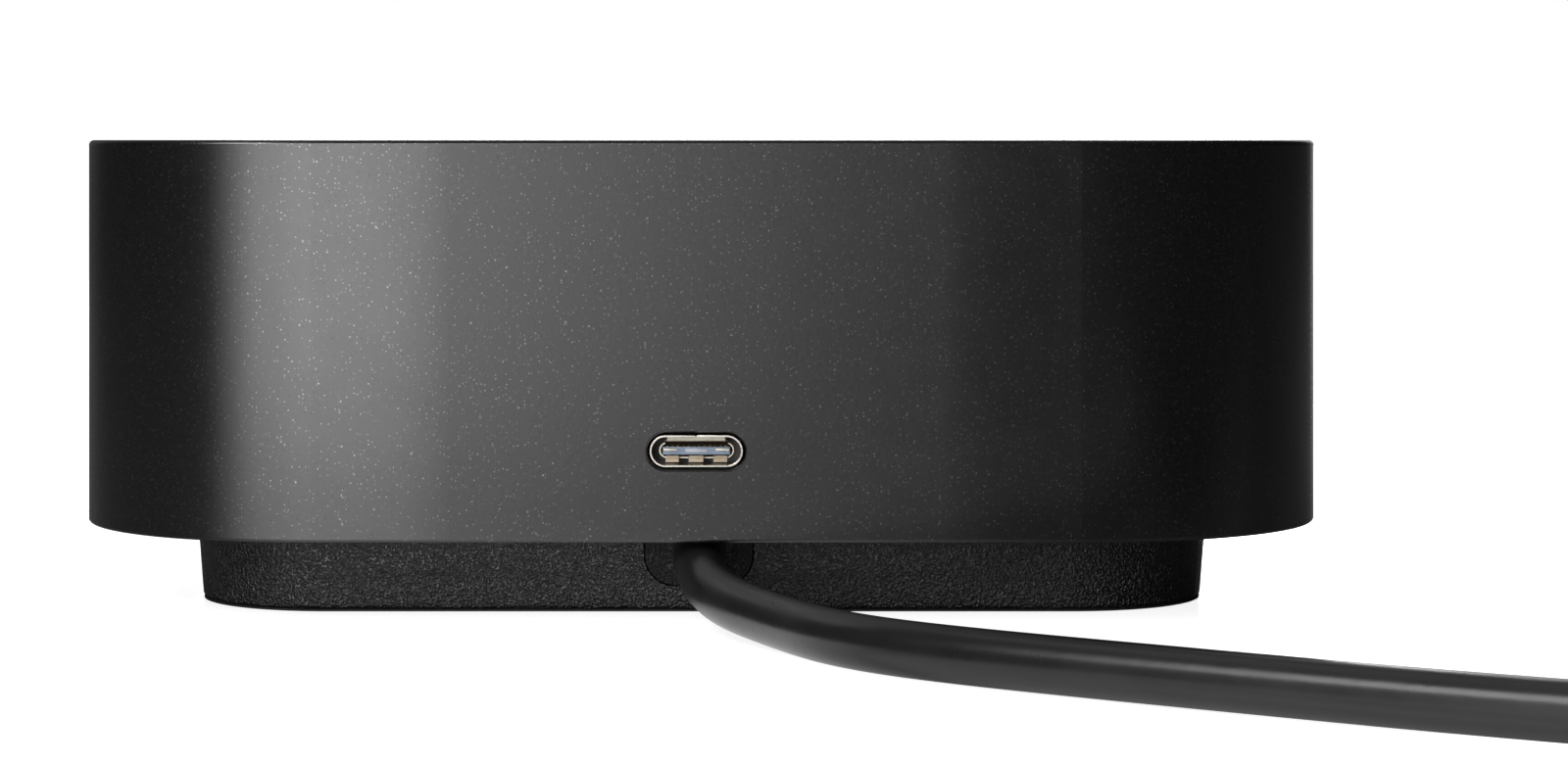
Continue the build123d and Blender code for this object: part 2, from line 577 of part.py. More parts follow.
def cable_clamp():
    """A bar over the cable, grooved to hold it, on the tray's two clamp posts."""
    reach, front, back = CLAMP_SPAN + CLAMP_POST_R, CLAMP_Y - CLAMP_WIDTH / 2, CLAMP_Y + CLAMP_WIDTH / 2
    bar = block(-reach, reach, front, back, CORD_EXIT_Z + THREAD_GAP, CLAMP_TOP)
    bar -= along_y(Circle(CORD_R + THREAD_GAP), 0, CORD_EXIT_Z, front - 1, back + 1)
    for side in (-1, 1):
        bar -= rod(side * CLAMP_SPAN, CLAMP_Y, SMALL_SCREW_R + FIT, 0, HEIGHT)
    return chamfer(bar.faces().sort_by(Axis.Z)[-1].edges().filter_by(Axis.Y), 0.9)


def clamp_screws():
    """The clamp's two screws."""
    bite = CLAMP_TOP - FLOOR_TOP - 0.5
    return [screw(side * CLAMP_SPAN, CLAMP_Y, CLAMP_TOP, SMALL_SCREW_R, bite, SMALL_SCREW_HEAD_R,
                  SMALL_SCREW_HEAD_H, up=False) for side in (-1, 1)]


def tube(points, name):
    """A cord's tube: straight runs joined by tangent arcs, as large as the runs allow."""
    corners = [Vector(*p) for p in points]
    runs = [b - a for a, b in zip(corners, corners[1:])]
    radii = []
    for before, after in zip(runs, runs[1:]):
        half_turn = math.radians(before.get_angle(after)) / 2
        radii.append(0.45 * min(before.length, after.length) / math.tan(half_turn))
    path = FilletPolyline(*corners, radius=radii)
    solid = sweep(Plane(origin=path @ 0, z_dir=path % 0) * Circle(CORD_R), path)
    expected = math.pi * CORD_R ** 2 * path.length
    print(name, "radii", [round(r, 1) for r in radii], "length", round(path.length, 1),
          "volume ratio", round(solid.volume / expected, 4))
    return solid


def cord():
    """The cable from the collar, along the table, to the coil."""
    return Pos(0, -PLINTH_HALF, 0) * tube(CORD_ROUTE, "cord")


def cord_coil():
    """The put-away coil's outer shape: a ring of two layers of turns."""
    low, high = TIE_THICK, TIE_THICK + 4 * CORD_R
    width = COIL_OUTER - COIL_INNER + 2 * CORD_R
    section = Rectangle(width, high - low)
    section = chamfer(section.vertices(), CORD_R * 0.7)
    middle = Pos((COIL_OUTER + COIL_INNER) / 2, (low + high) / 2)
    return COIL_PLACE * revolve(Plane.XZ * middle * section, Axis.Z)


def cord_end():
    """The cable's last stretch, off the coil's top turn and into the plug."""
    return COIL_PLACE * tube(CORD_END_ROUTE, "cord_end")


def cord_tie():
    """The strap round the coil's turns, on the side away from the dock."""
    inside_x = COIL_INNER - CORD_R - 1.2
    outside_x = COIL_OUTER + CORD_R + 0.15
    high = TIE_THICK + 4 * CORD_R + 0.1
    x, z = (inside_x + outside_x) / 2, (TIE_THICK + high) / 2
    hole = RectangleRounded(outside_x - inside_x, high - TIE_THICK, 1.6)
    strap = RectangleRounded(outside_x - inside_x + 2 * TIE_THICK, high + TIE_THICK, 2.4)
    loop = along_y(strap, x, z, -TIE_WIDTH / 2, TIE_WIDTH / 2)
    return COIL_PLACE * (loop - along_y(hole, x, z, -TIE_WIDTH, TIE_WIDTH))


def plug_grip():
    """The plug's moulded grip with its tapered relief round the cable."""
    upright = Rot(90, 0, 0)
    start = -PLUG_RELIEF
    wide_end = Pos(0, start, 0) * upright * Circle(PLUG_H / 2)
    relief = loft([upright * Circle(CORD_R + PLUG_LIP), wide_end])
    grip = along_y(RectangleRounded(PLUG_W, PLUG_H, PLUG_H / 2 - 0.1), 0, 0, start - PLUG_LENGTH, start)
    grip = fillet(grip.faces().sort_by(Axis.Y)[-1].edges(), 1.2)
    grip = fillet(grip.faces().sort_by(Axis.Y)[0].edges(), 0.6)
    return PLUG_PLACE * (relief + grip)


def plug_shell():
    """The USB-C plug's drawn steel shell."""
    width, height, length = PLUG_TIP
    start = -PLUG_RELIEF - PLUG_LENGTH
    tip = along_y(SlotOverall(width, height), 0, 0, start - length, start)
    hollow = SlotOverall(width - 2 * PLUG_SHEET, height - 2 * PLUG_SHEET)
    return PLUG_PLACE * (tip - along_y(hollow, 0, 0, start - length - 1, start - PLUG_SHEET))


# ---------------------------------------------------------------- board and sockets

def main_board():
    """The main circuit board, holed for bosses and screws, cut straight at the rear bay."""
    board = rounded_prism(2 * BOARD_HALF, 2 * BOARD_HALF, INNER_R - BOARD_GAP, BOARD_LOW, BOARD_TOP)
    board -= block(-HALF, HALF, BOARD_REAR, HALF, 0, HEIGHT)
    for x, y in SCREWS:
        board -= rod(x, y, BOSS_R + FIT, 0, HEIGHT)
    for sx, sy in CORNERS:
        board -= rod(sx * BOARD_POST_X, sy * BOARD_POST_Y, BOARD_SCREW_R + FIT, 0, HEIGHT)
    return board


def board_screws():
    """Four screws that hold the board on its posts."""
    bite = BOARD_THICK + BOARD_SCREW_BITE - 0.2
    return [screw(sx * BOARD_POST_X, sy * BOARD_POST_Y, BOARD_TOP, BOARD_SCREW_R, bite,
                  BOARD_SCREW_HEAD_R, BOARD_SCREW_HEAD_H, up=False) for sx, sy in CORNERS]


def usb_c_shell():
    """The front socket's drawn shell: an open slot-shaped tube with a back wall."""
    back = USB_C_MOUTH + USB_C_LENGTH
    shell = along_y(SlotOverall(USB_C_W, USB_C_H), 0, USB_C_Z, USB_C_MOUTH, back)
    hollow = SlotOverall(USB_C_W - 2 * USB_C_SHEET, USB_C_H - 2 * USB_C_SHEET)
    return shell - along_y(hollow, 0, USB_C_Z, USB_C_MOUTH - 1, back - USB_C_SHEET)


def usb_c_tongue():
    """The front socket's insert: a thin tongue standing on a plug of plastic."""
    back = USB_C_MOUTH + USB_C_LENGTH - USB_C_SHEET
    root = back - TONGUE_ROOT
    inset = 2 * (USB_C_SHEET + INSERT_GAP)
    fill = SlotOverall(USB_C_W - inset, USB_C_H - inset)
    tongue = along_y(Rectangle(TONGUE_W, TONGUE_H), 0, USB_C_Z, USB_C_MOUTH + TONGUE_SETBACK, root)
    tongue = chamfer(tongue.faces().sort_by(Axis.Y)[0].edges().filter_by(Axis.X), 0.12)
    return tongue + along_y(fill, 0, USB_C_Z, root, back)


def usb_c_contacts():
    """A row of contact strips on each face of the tongue."""
    front = USB_C_MOUTH + TONGUE_SETBACK + CONTACT_SETBACK
    strips = []
    for row in (-1, 1):
        z = USB_C_Z + row * (TONGUE_H + CONTACT_THICK) / 2
        for i in range(CONTACTS_PER_ROW):
            x = (i - (CONTACTS_PER_ROW - 1) / 2) * CONTACT_PITCH
            strips.append(slab(x, front + CONTACT_LENGTH / 2, CONTACT_W, CONTACT_LENGTH,
                               z - CONTACT_THICK / 2, z + CONTACT_THICK / 2))
    return strips


def usb_c_springs():
    """The two sheet springs on the shell's floor and roof, the lower one notched."""
    front = USB_C_MOUTH + SPRING_SETBACK
    back = USB_C_MOUTH + USB_C_LENGTH - USB_C_SHEET - TONGUE_ROOT
    rise = USB_C_H / 2 - USB_C_SHEET - SPRING_THICK / 2
    roof, floor = [along_y(Rectangle(SPRING_W, SPRING_THICK), 0, USB_C_Z + side * rise, front, back)
                   for side in (1, -1)]
    for side in (-1, 1):
        floor -= slab(side * SPRING_NOTCH_X, front, SPRING_NOTCH_W, 2 * SPRING_NOTCH, 0, USB_C_Z)
    return [roof, floor]


def usb_a_shell(y):
    """One side USB-A shell, its mouth at the wall's face."""
    z = BOARD_TOP + USB_A_H / 2
    mouth = -HALF + USB_C_SETBACK
    back = mouth + USB_A_LENGTH
    shell = along_x(RectangleRounded(USB_A_W, USB_A_H, 0.6), y, z, mouth, back)
    hollow = RectangleRounded(USB_A_W - 2 * USB_A_SHEET, USB_A_H - 2 * USB_A_SHEET, 0.4)
    return shell - along_x(hollow, y, z, mouth - 1, back - USB_A_SHEET)


def usb_a_tongue(y):
    """The insert of one side USB-A socket: a tongue near the top on a back block."""
    z = BOARD_TOP + USB_A_H / 2
    back = -HALF + USB_C_SETBACK + USB_A_LENGTH - USB_A_SHEET
    inner_h = USB_A_H - 2 * USB_A_SHEET
    root = back - USB_A_ROOT
    top = z + inner_h / 2 - USB_A_TONGUE_DROP
    fill = RectangleRounded(USB_A_W - 2 * (USB_A_SHEET + INSERT_GAP), inner_h - 2 * INSERT_GAP, 0.4)
    tongue = along_x(Rectangle(USB_A_TONGUE_W, USB_A_TONGUE_H), y, top - USB_A_TONGUE_H / 2,
                     root - USB_A_TONGUE_LENGTH, root)
    return tongue + along_x(fill, y, z, root, back)


def side_usb_shells():
    """Both side USB-A shells."""
    return [usb_a_shell(y) for y in SIDE_USB_Y]


def side_usb_tongues():
    """Both side USB-A inserts."""
    return [usb_a_tongue(y) for y in SIDE_USB_Y]


def audio_jack():
    """The headset jack: a body on the board with a nozzle through the wall and its bore."""
    length, width, height = AUDIO_BODY
    face = -INNER_HALF + FIT
    mouth = -HALF + USB_C_SETBACK
    body = block(face, face + length, AUDIO_Y - width / 2, AUDIO_Y + width / 2,
                 BOARD_TOP, BOARD_TOP + height + 2 * AUDIO_BORE_RISE)
    nozzle = along_x(Circle(AUDIO_NOZZLE_R), AUDIO_Y, AUDIO_Z, mouth, face + 1)
    return body + nozzle - along_x(Circle(AUDIO_BORE_R), AUDIO_Y, AUDIO_Z, mouth - 1, mouth + AUDIO_DEPTH)


def lock_plate():
    """The steel plate behind the lock slot."""
    thick, width, height = LOCK_PLATE
    plate = along_x(RectangleRounded(width, height, 1.2), LOCK_Y, LOCK_Z, INNER_HALF - thick, INNER_HALF)
    plate -= along_x(RectangleRounded(LOCK_W, LOCK_H, 0.5), LOCK_Y, LOCK_Z, INNER_HALF - thick - 1, HALF)
    for y in LOCK_PINS:
        plate -= along_x(Circle(LOCK_PIN_R + THREAD_GAP), y, LOCK_Z, INNER_HALF - thick - 1, HALF)
    return plate


def rear_panel():
    """The panel in the rear bay, cut out round each socket."""
    outline = RectangleRounded(PANEL_W, PANEL_TOP - PANEL_LOW, PANEL_CORNER)
    panel = along_y(outline, 0, (PANEL_TOP + PANEL_LOW) / 2, PANEL_BACK, PANEL_FACE)
    for name, x in port_centres().items():
        w, h, _ = PORTS[name]
        hole = RectangleRounded(w + 2 * FIT, h + 2 * FIT, 0.5)
        panel -= along_y(hole, x, BOARD_TOP + h / 2, PANEL_BACK - 1, PANEL_FACE + 1)
    return panel


def port_body(name, inset=0.0, corner=0.4):
    """A socket's outer block on the board, its mouth level with the panel's face."""
    w, h, depth = PORTS[name]
    x = port_centres()[name]
    outline = RectangleRounded(w - 2 * inset, h - 2 * inset, corner)
    return along_y(outline, x, BOARD_TOP + h / 2, PANEL_FACE - depth + inset, PANEL_FACE)


def rj45_shield():
    """The network socket's folded steel shield, open at the mouth."""
    return port_body("rj45") - along_y(
        Rectangle(RJ45[0] - 2 * PORT_SHEET, RJ45[1] - 2 * PORT_SHEET), port_centres()["rj45"],
        BOARD_TOP + RJ45[1] / 2, PANEL_FACE - RJ45[2] + PORT_SHEET, PANEL_FACE + 1)


def rj45_jack():
    """The network socket's insert: stepped mouth for plug and latch."""
    x = port_centres()["rj45"]
    width, height, depth = RJ45_MOUTH
    body = port_body("rj45", PORT_SHEET + INSERT_GAP, 0.2)
    low = BOARD_TOP + RJ45_MOUTH_LOW
    back = PANEL_FACE - depth
    body -= along_y(Rectangle(width, height), x, low + height / 2, back, PANEL_FACE + 1)
    for width, height in RJ45_STEPS:
        low -= height
        body -= along_y(Rectangle(width, height + 0.01), x, low + height / 2, back, PANEL_FACE + 1)
    width, height, depth = RJ45_LAMP
    for side in (-1, 1):
        body -= along_y(Rectangle(width, height), x + side * RJ45_LAMP_X, BOARD_TOP + RJ45_LAMP_Z,
                        PANEL_FACE - depth, PANEL_FACE + 1)
    return body


def rj45_lamps():
    """Two small light guides at the socket's upper corners."""
    x = port_centres()["rj45"]
    width, height, depth = RJ45_LAMP
    guide = Rectangle(width - 2 * INSERT_GAP, height - 2 * INSERT_GAP)
    z = BOARD_TOP + RJ45_LAMP_Z
    return [along_y(guide, x + side * RJ45_LAMP_X, z, PANEL_FACE - depth, PANEL_FACE - 0.1)
            for side in (-1, 1)]


def rj45_contacts():
    """Eight sprung wires that slope down into the mouth from its roof."""
    x, roof = port_centres()["rj45"], BOARD_TOP + RJ45_MOUTH_LOW + RJ45_MOUTH[1]
    front, back = PANEL_FACE - RJ45_WIRE_SETBACK, PANEL_FACE - RJ45_MOUTH[2]
    low = roof - RJ45_WIRE_DROP
    profile = Polyline((front, roof), (front, roof - RJ45_WIRE), (back, low), (back, low + RJ45_WIRE),
                       (front - RJ45_WIRE_SLOPE, roof), close=True)
    wire = extrude(make_face(Plane.YZ * profile), RJ45_WIRE, dir=(1, 0, 0))
    return [Pos(x + (i - 3.5) * RJ45_WIRE_PITCH - RJ45_WIRE / 2, 0, 0) * wire for i in range(8)]


def stack_mouths(name, outline, first, pitch):
    """Two mouths, one above the other, cut into a stacked socket."""
    x = port_centres()[name]
    depth = PORTS[name][2]
    back = PANEL_FACE - depth + PORT_BACK
    return [along_y(outline, x, BOARD_TOP + first + i * pitch, back, PANEL_FACE + 1) for i in range(2)]


def rear_usb_shell():
    """The stacked USB-A socket's metal body with its two mouths."""
    body = port_body("usb")
    for mouth in stack_mouths("usb", RectangleRounded(*USB_MOUTH, 0.4), USB_MOUTH_LOW, USB_MOUTH_PITCH):
        body -= mouth
    return body


def rear_usb_tongues():
    """The two tongues in the stacked USB-A socket."""
    x, root = port_centres()["usb"], PANEL_FACE - USB_STACK[2] + PORT_BACK
    low = BOARD_TOP + USB_MOUTH_LOW + USB_MOUTH[1] / 2 - USB_A_TONGUE_DROP - USB_A_TONGUE_H / 2
    tongue = Rectangle(USB_A_TONGUE_W, USB_A_TONGUE_H)
    return [along_y(tongue, x, low + i * USB_MOUTH_PITCH, root, PANEL_FACE - TONGUE_BACK) for i in range(2)]


def hdmi_outline():
    """The HDMI mouth: a wide top and two slanted lower corners."""
    w, h = HDMI_MOUTH[0] / 2, HDMI_MOUTH[1] / 2
    cut_w, cut_h = HDMI_CORNER
    return make_face(Polyline((-w, h), (w, h), (w, cut_h - h), (w - cut_w, -h), (cut_w - w, -h),
                              (-w, cut_h - h), close=True))


def hdmi_shell():
    """The HDMI socket's folded shell on its base."""
    x, z = port_centres()["hdmi"], BOARD_TOP + HDMI[1] / 2
    back = PANEL_FACE - HDMI[2] + HDMI_BACK
    return port_body("hdmi") - along_y(hdmi_outline(), x, z, back, PANEL_FACE + 1)


def hdmi_tongue():
    """The HDMI socket's thin tongue."""
    x, z = port_centres()["hdmi"], BOARD_TOP + HDMI[1] / 2
    back = PANEL_FACE - HDMI[2] + HDMI_BACK
    return along_y(Rectangle(*HDMI_TONGUE), x, z + FIT, back, PANEL_FACE - TONGUE_BACK)


def dp_outline():
    """The DisplayPort mouth: a rectangle with one lower corner cut off."""
    w, h = DP_MOUTH[0] / 2, DP_MOUTH[1] / 2
    return make_face(Polyline((-w, h), (w, h), (w, DP_CORNER - h), (w - DP_CORNER, -h), (-w, -h),
                              close=True))


def dp_shell():
    """The stacked DisplayPort socket's metal body with its two mouths."""
    body = port_body("dp")
    for mouth in stack_mouths("dp", dp_outline(), DP_MOUTH_LOW, DP_MOUTH_PITCH):
        body -= mouth
    return body


def dp_tongues():
    """The two tongues in the stacked DisplayPort socket."""
    x, root = port_centres()["dp"], PANEL_FACE - DP_STACK[2] + PORT_BACK
    low, tongue = BOARD_TOP + DP_MOUTH_LOW, Rectangle(*DP_TONGUE)
    return [along_y(tongue, x, low + i * DP_MOUTH_PITCH, root, PANEL_FACE - TONGUE_BACK) for i in range(2)]


def dc_jack():
    """The power inlet: a block with a round socket."""
    x, z = port_centres()["dc"], BOARD_TOP + DC_JACK[1] / 2
    body = port_body("dc", corner=1.0)
    return body - along_y(Circle(DC_BORE_R), x, z, PANEL_FACE - DC_DEPTH, PANEL_FACE + 1)


def dc_pin():
    """The power inlet's centre pin."""
    x, z = port_centres()["dc"], BOARD_TOP + DC_JACK[1] / 2
    pin = along_y(Circle(DC_PIN_R), x, z, PANEL_FACE - DC_DEPTH, PANEL_FACE - DC_PIN_SETBACK)
    return chamfer(pin.faces().sort_by(Axis.Y)[-1].edges(), 0.15)


# ---------------------------------------------------------------- on the board

def chip(x, y, side, height):
    """A chip's square body on the board, with a pin-one corner cut."""
    body = slab(x, y, side, side, BOARD_TOP, BOARD_TOP + height)
    pin_one = body.edges().filter_by(Axis.Z).sort_by(lambda e: e.center().X + e.center().Y)[0]
    return chamfer(pin_one, CHIP_CORNER)


def display_chip():
    """The display chip under the heatsink."""
    return chip(0, DISPLAY_CHIP_Y, *DISPLAY_CHIP)


def hub_chip():
    """The hub chip under the heatsink."""
    return chip(0, HUB_CHIP_Y, *HUB_CHIP)


def lan_chip():
    """The network chip."""
    return chip(*LAN_CHIP_AT, *LAN_CHIP)


def power_chips():
    """The power delivery chips."""
    return [chip(*values) for values in POWER_CHIPS]


def thermal_pads():
    """Soft pads between the two large chips and the heatsink."""
    pads = []
    for y, (side, height) in ((DISPLAY_CHIP_Y, DISPLAY_CHIP), (HUB_CHIP_Y, HUB_CHIP)):
        pads.append(slab(0, y, side, side, BOARD_TOP + height, SINK_LOW))
    return pads


def heatsink():
    """An extruded heatsink: a base with fins, on four small feet at its screws."""
    width, depth, base, height = SINK
    low = SINK_LOW
    sink = slab(0, SINK_Y, width, depth, low, low + base)
    pitch = (width - FIN_THICK) / (FIN_COUNT - 1)
    for i in range(FIN_COUNT):
        x = (FIN_THICK - width) / 2 + i * pitch
        sink += slab(x, SINK_Y, FIN_THICK, depth, low, low + height)
    for x, y in SINK_SCREWS:
        sink -= rod(x, y, SINK_WELL_R, low + base, low + height + 1)
        sink += rod(x, y, SINK_FOOT_R, BOARD_TOP, low)
        sink -= rod(x, y, BOARD_SCREW_R + THREAD_GAP, BOARD_TOP - 1, low + base + 1)
    return sink


def heatsink_screws():
    """Four screws from above through the heatsink's feet into the board."""
    seat = SINK_LOW + SINK[2]
    return [screw(x, y, seat, BOARD_SCREW_R, seat - BOARD_TOP - 0.1, *SINK_SCREW_HEAD, up=False)
            for x, y in SINK_SCREWS]


def lan_transformer():
    """The network transformer's moulded body."""
    (x, y), (width, depth, height) = TRANSFORMER_AT, TRANSFORMER
    body = slab(x, y, width, depth, BOARD_TOP, BOARD_TOP + height)
    return chamfer(body.faces().sort_by(Axis.Z)[-1].edges(), 0.5)


def power_inductors():
    """Shielded inductors beside the power chips."""
    side, height = INDUCTOR
    bodies = [slab(x, y, side, side, BOARD_TOP, BOARD_TOP + height) for x, y in INDUCTORS]
    return [chamfer(body.edges().filter_by(Axis.Z), INDUCTOR_CORNER) for body in bodies]


def capacitors():
    """Aluminium can capacitors, each on its square foot."""
    radius, height = CAPACITOR
    cans = []
    for x, y in [*CAPACITORS, INPUT_CAPACITOR]:
        can = rod(x, y, radius, BOARD_TOP, BOARD_TOP + height)
        can = chamfer(can.faces().sort_by(Axis.Z)[-1].edges(), 0.4)
        foot = slab(x, y, 2 * radius, 2 * radius, BOARD_TOP, BOARD_TOP + CAPACITOR_FOOT)
        cans.append(can + foot)
    return cans


# ---------------------------------------------------------------- power button

def power_button():
    """The round button cap with its retaining flange and stem."""
    flange_low = CAP_FLANGE_TOP - BUTTON_FLANGE
    cap = rod(BUTTON_X, BUTTON_Y, BUTTON_R, flange_low, CAP_TOP)
    cap = fillet(cap.faces().sort_by(Axis.Z)[-1].edges(), BUTTON_EDGE_R)
    cap += rod(BUTTON_X, BUTTON_Y, BUTTON_R + BUTTON_FLANGE_LIP, flange_low, CAP_FLANGE_TOP)
    return cap + rod(BUTTON_X, BUTTON_Y, BUTTON_STEM_R, STEM_LOW, CAP_FLANGE_TOP)


def button_board():
    """The small board under the button."""
    width, depth, thick = BUTTON_BOARD
    board = slab(BUTTON_X, BUTTON_Y + BUTTON_BOARD_TAIL / 2, width, depth + BUTTON_BOARD_TAIL,
                 BUTTON_BOARD_LOW, BUTTON_BOARD_LOW + thick)
    for x, y in BUTTON_POSTS:
        board -= rod(x, y, SMALL_SCREW_R + FIT, 0, HEIGHT)
    return board


def tact_switch():
    """The switch's body under the button's stem, bored for its plunger."""
    width, depth, height = SWITCH_BODY
    body = slab(BUTTON_X, BUTTON_Y, width, depth, SWITCH_TOP - height, SWITCH_TOP)
    return body - rod(BUTTON_X, BUTTON_Y, PLUNGER_R + FIT, SWITCH_TOP - PLUNGER_BORE, SWITCH_TOP + 1)


def switch_plunger():
    """The switch's plunger, which the stem pushes down."""
    low = SWITCH_TOP - PLUNGER_BORE + BUTTON_TRAVEL + FIT
    return rod(BUTTON_X, BUTTON_Y, PLUNGER_R, low, PLUNGER_TOP)


def light_pipe():
    """A clear pipe that brings the lamp's light up to the roof's face."""
    y = BUTTON_Y + PIPE_OFFSET
    pipe = rod(BUTTON_X, y, PIPE_R, BUTTON_BOARD_TOP + LED[2] + PIPE_GAP, HEIGHT - 0.1)
    collar_top = ROOF_LOW - THREAD_GAP
    return pipe + rod(BUTTON_X, y, PIPE_R + PIPE_COLLAR, collar_top - PIPE_COLLAR, collar_top)


def led():
    """The lamp under the light pipe."""
    return Pos(BUTTON_X, BUTTON_Y + PIPE_OFFSET, BUTTON_BOARD_TOP + LED[2] / 2) * Box(*LED)


def button_board_screws():
    """Two screws from below through the button's board into its posts."""
    bite = BUTTON_BOARD[2] + SMALL_SCREW_BITE
    return [screw(x, y, BUTTON_BOARD_LOW, SMALL_SCREW_R, bite, SMALL_SCREW_HEAD_R, SMALL_SCREW_HEAD_H)
            for x, y in BUTTON_POSTS]


def ffc_connectors():
    """The ribbon's two sockets: under the button's board and on the main board."""
    width, depth, height = FFC
    return [slab(RIBBON_X, RIBBON_Y - depth / 2, width, depth, low, low + height)
            for low in (BUTTON_BOARD_LOW - height, BOARD_TOP)]


def ribbon_cable():
    """The flat ribbon between the two boards, in one easy bend."""
    near, far = RIBBON_Y + FIT, RIBBON_Y + RIBBON_BOW
    top, low = BUTTON_BOARD_LOW - FFC[2] / 2, BOARD_TOP + FFC[2] / 2
    path = FilletPolyline((near, top), (far, top - RIBBON_BEND_R), (far, low + RIBBON_BEND_R),
                          (near, low), radius=RIBBON_BEND_R)
    strip = make_face(offset(path, RIBBON_THICK / 2, kind=Kind.ARC, side=Side.BOTH).edges())
    return extrude(Plane.YZ.offset(RIBBON_X - RIBBON_W / 2) * strip, RIBBON_W)


PARTS = [
    housing, base_tray, rubber_sole, base_screws, ballast_plate, cable_collar, cord_tail,
    cable_connector, cable_clamp, clamp_screws, cord, cord_coil, cord_end, cord_tie, plug_grip,
    plug_shell, main_board, board_screws, usb_c_shell, usb_c_tongue, usb_c_contacts, usb_c_springs,
    side_usb_shells, side_usb_tongues, audio_jack, lock_plate, rear_panel, rj45_shield, rj45_jack,
    rj45_lamps, rj45_contacts, rear_usb_shell, rear_usb_tongues, hdmi_shell, hdmi_tongue, dp_shell,
    dp_tongues, dc_jack, dc_pin, display_chip, hub_chip, lan_chip, power_chips, thermal_pads,
    heatsink, heatsink_screws, lan_transformer, power_inductors, capacitors, power_button,
    button_board, tact_switch, switch_plunger, light_pipe, led, button_board_screws,
    ffc_connectors, ribbon_cable,
]

os.makedirs("parts", exist_ok=True)
for make in PARTS:
    shape = make()
    if isinstance(shape, (list, tuple)):
        shape = Compound(children=list(shape))
    export_step(shape, f"parts/{make.__name__}.step")
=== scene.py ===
"""The looks of a square desktop docking station: its studio, cable, sockets and finishes."""

import json
import logging
import math
from dataclasses import dataclass, field
from enum import Enum
from typing import Sequence

import bmesh
import bpy
from mathutils import Matrix, Vector


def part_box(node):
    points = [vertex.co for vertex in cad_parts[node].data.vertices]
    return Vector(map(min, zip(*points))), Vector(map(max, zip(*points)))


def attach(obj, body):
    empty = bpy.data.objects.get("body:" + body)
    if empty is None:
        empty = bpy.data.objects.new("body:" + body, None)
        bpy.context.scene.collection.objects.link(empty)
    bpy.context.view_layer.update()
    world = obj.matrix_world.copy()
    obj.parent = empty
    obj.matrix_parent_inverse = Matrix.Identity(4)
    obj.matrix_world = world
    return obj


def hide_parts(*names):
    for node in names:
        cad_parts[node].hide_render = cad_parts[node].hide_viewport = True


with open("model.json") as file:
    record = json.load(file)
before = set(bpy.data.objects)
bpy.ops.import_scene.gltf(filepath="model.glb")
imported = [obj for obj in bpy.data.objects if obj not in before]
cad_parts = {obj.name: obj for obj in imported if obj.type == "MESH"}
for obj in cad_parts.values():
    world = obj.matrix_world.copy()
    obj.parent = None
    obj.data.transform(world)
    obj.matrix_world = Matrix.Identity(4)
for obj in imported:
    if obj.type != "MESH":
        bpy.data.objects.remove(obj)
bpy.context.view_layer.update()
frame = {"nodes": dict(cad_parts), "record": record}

MM = 0.001
DOCK = "dock"                # the body that every new piece rides on
MOUNTS = {mount["name"]: Vector(mount["pos_m"]) for mount in frame["record"]["mounts"]}
Triple = tuple[float, float, float]
Colour = Triple
Span = tuple[float, float]
MID: Span = (0.3, 0.7)       # where most of a noise lies
log = logging.getLogger(DOCK)


class Lines(Enum):
    """How a metal's drawing lines are stretched along each axis."""

    ACROSS = (0.12, 1.0, 1.0)
    DEEP = (1.0, 0.1, 1.0)


# ---------------------------------------------------------------- shader expressions


class Wire:
    """A shader output that Python arithmetic joins to others through Math nodes."""

    def __init__(self, graph: "Graph", output: bpy.types.NodeSocket) -> None:
        """Wraps one node output."""
        self.graph = graph
        self.output = output

    def math(self, operation: str, *others: "Wire | float") -> "Wire":
        """Joins this value to others through one Math node."""
        values = dict(enumerate((self, *others)))
        return self.graph.node("ShaderNodeMath", {"operation": operation}, values)

    def __add__(self, other: "Wire | float") -> "Wire":
        """Sum."""
        return self.math("ADD", other)

    __radd__ = __add__

    def __mul__(self, other: "Wire | float") -> "Wire":
        """Product."""
        return self.math("MULTIPLY", other)

    __rmul__ = __mul__

    def __sub__(self, other: "Wire | float") -> "Wire":
        """Difference."""
        return self.math("SUBTRACT", other)

    def __rsub__(self, other: float) -> "Wire":
        """A number less this value."""
        return self.graph.node("ShaderNodeMath", {"operation": "SUBTRACT"}, {0: other, 1: self})

    def __truediv__(self, other: "Wire | float") -> "Wire":
        """Quotient."""
        return self.math("DIVIDE", other)

    def __pow__(self, other: float) -> "Wire":
        """Power."""
        return self.math("POWER", other)

    def ramp(self, low: float, high: float, to: Span = (0.0, 1.0)) -> "Wire":
        """Turns a span of this value smoothly into another span.

        Args:
            low: The value where the span starts.
            high: The value where it ends.
            to: What it gives at its start and at its end.

        Returns:
            The new value, held at the ends outside the span.
        """
        return self.graph.node(
            "ShaderNodeMapRange", {"interpolation_type": "SMOOTHSTEP"},
            {"Value": self, "From Min": low, "From Max": high, "To Min": to[0], "To Max": to[1]})


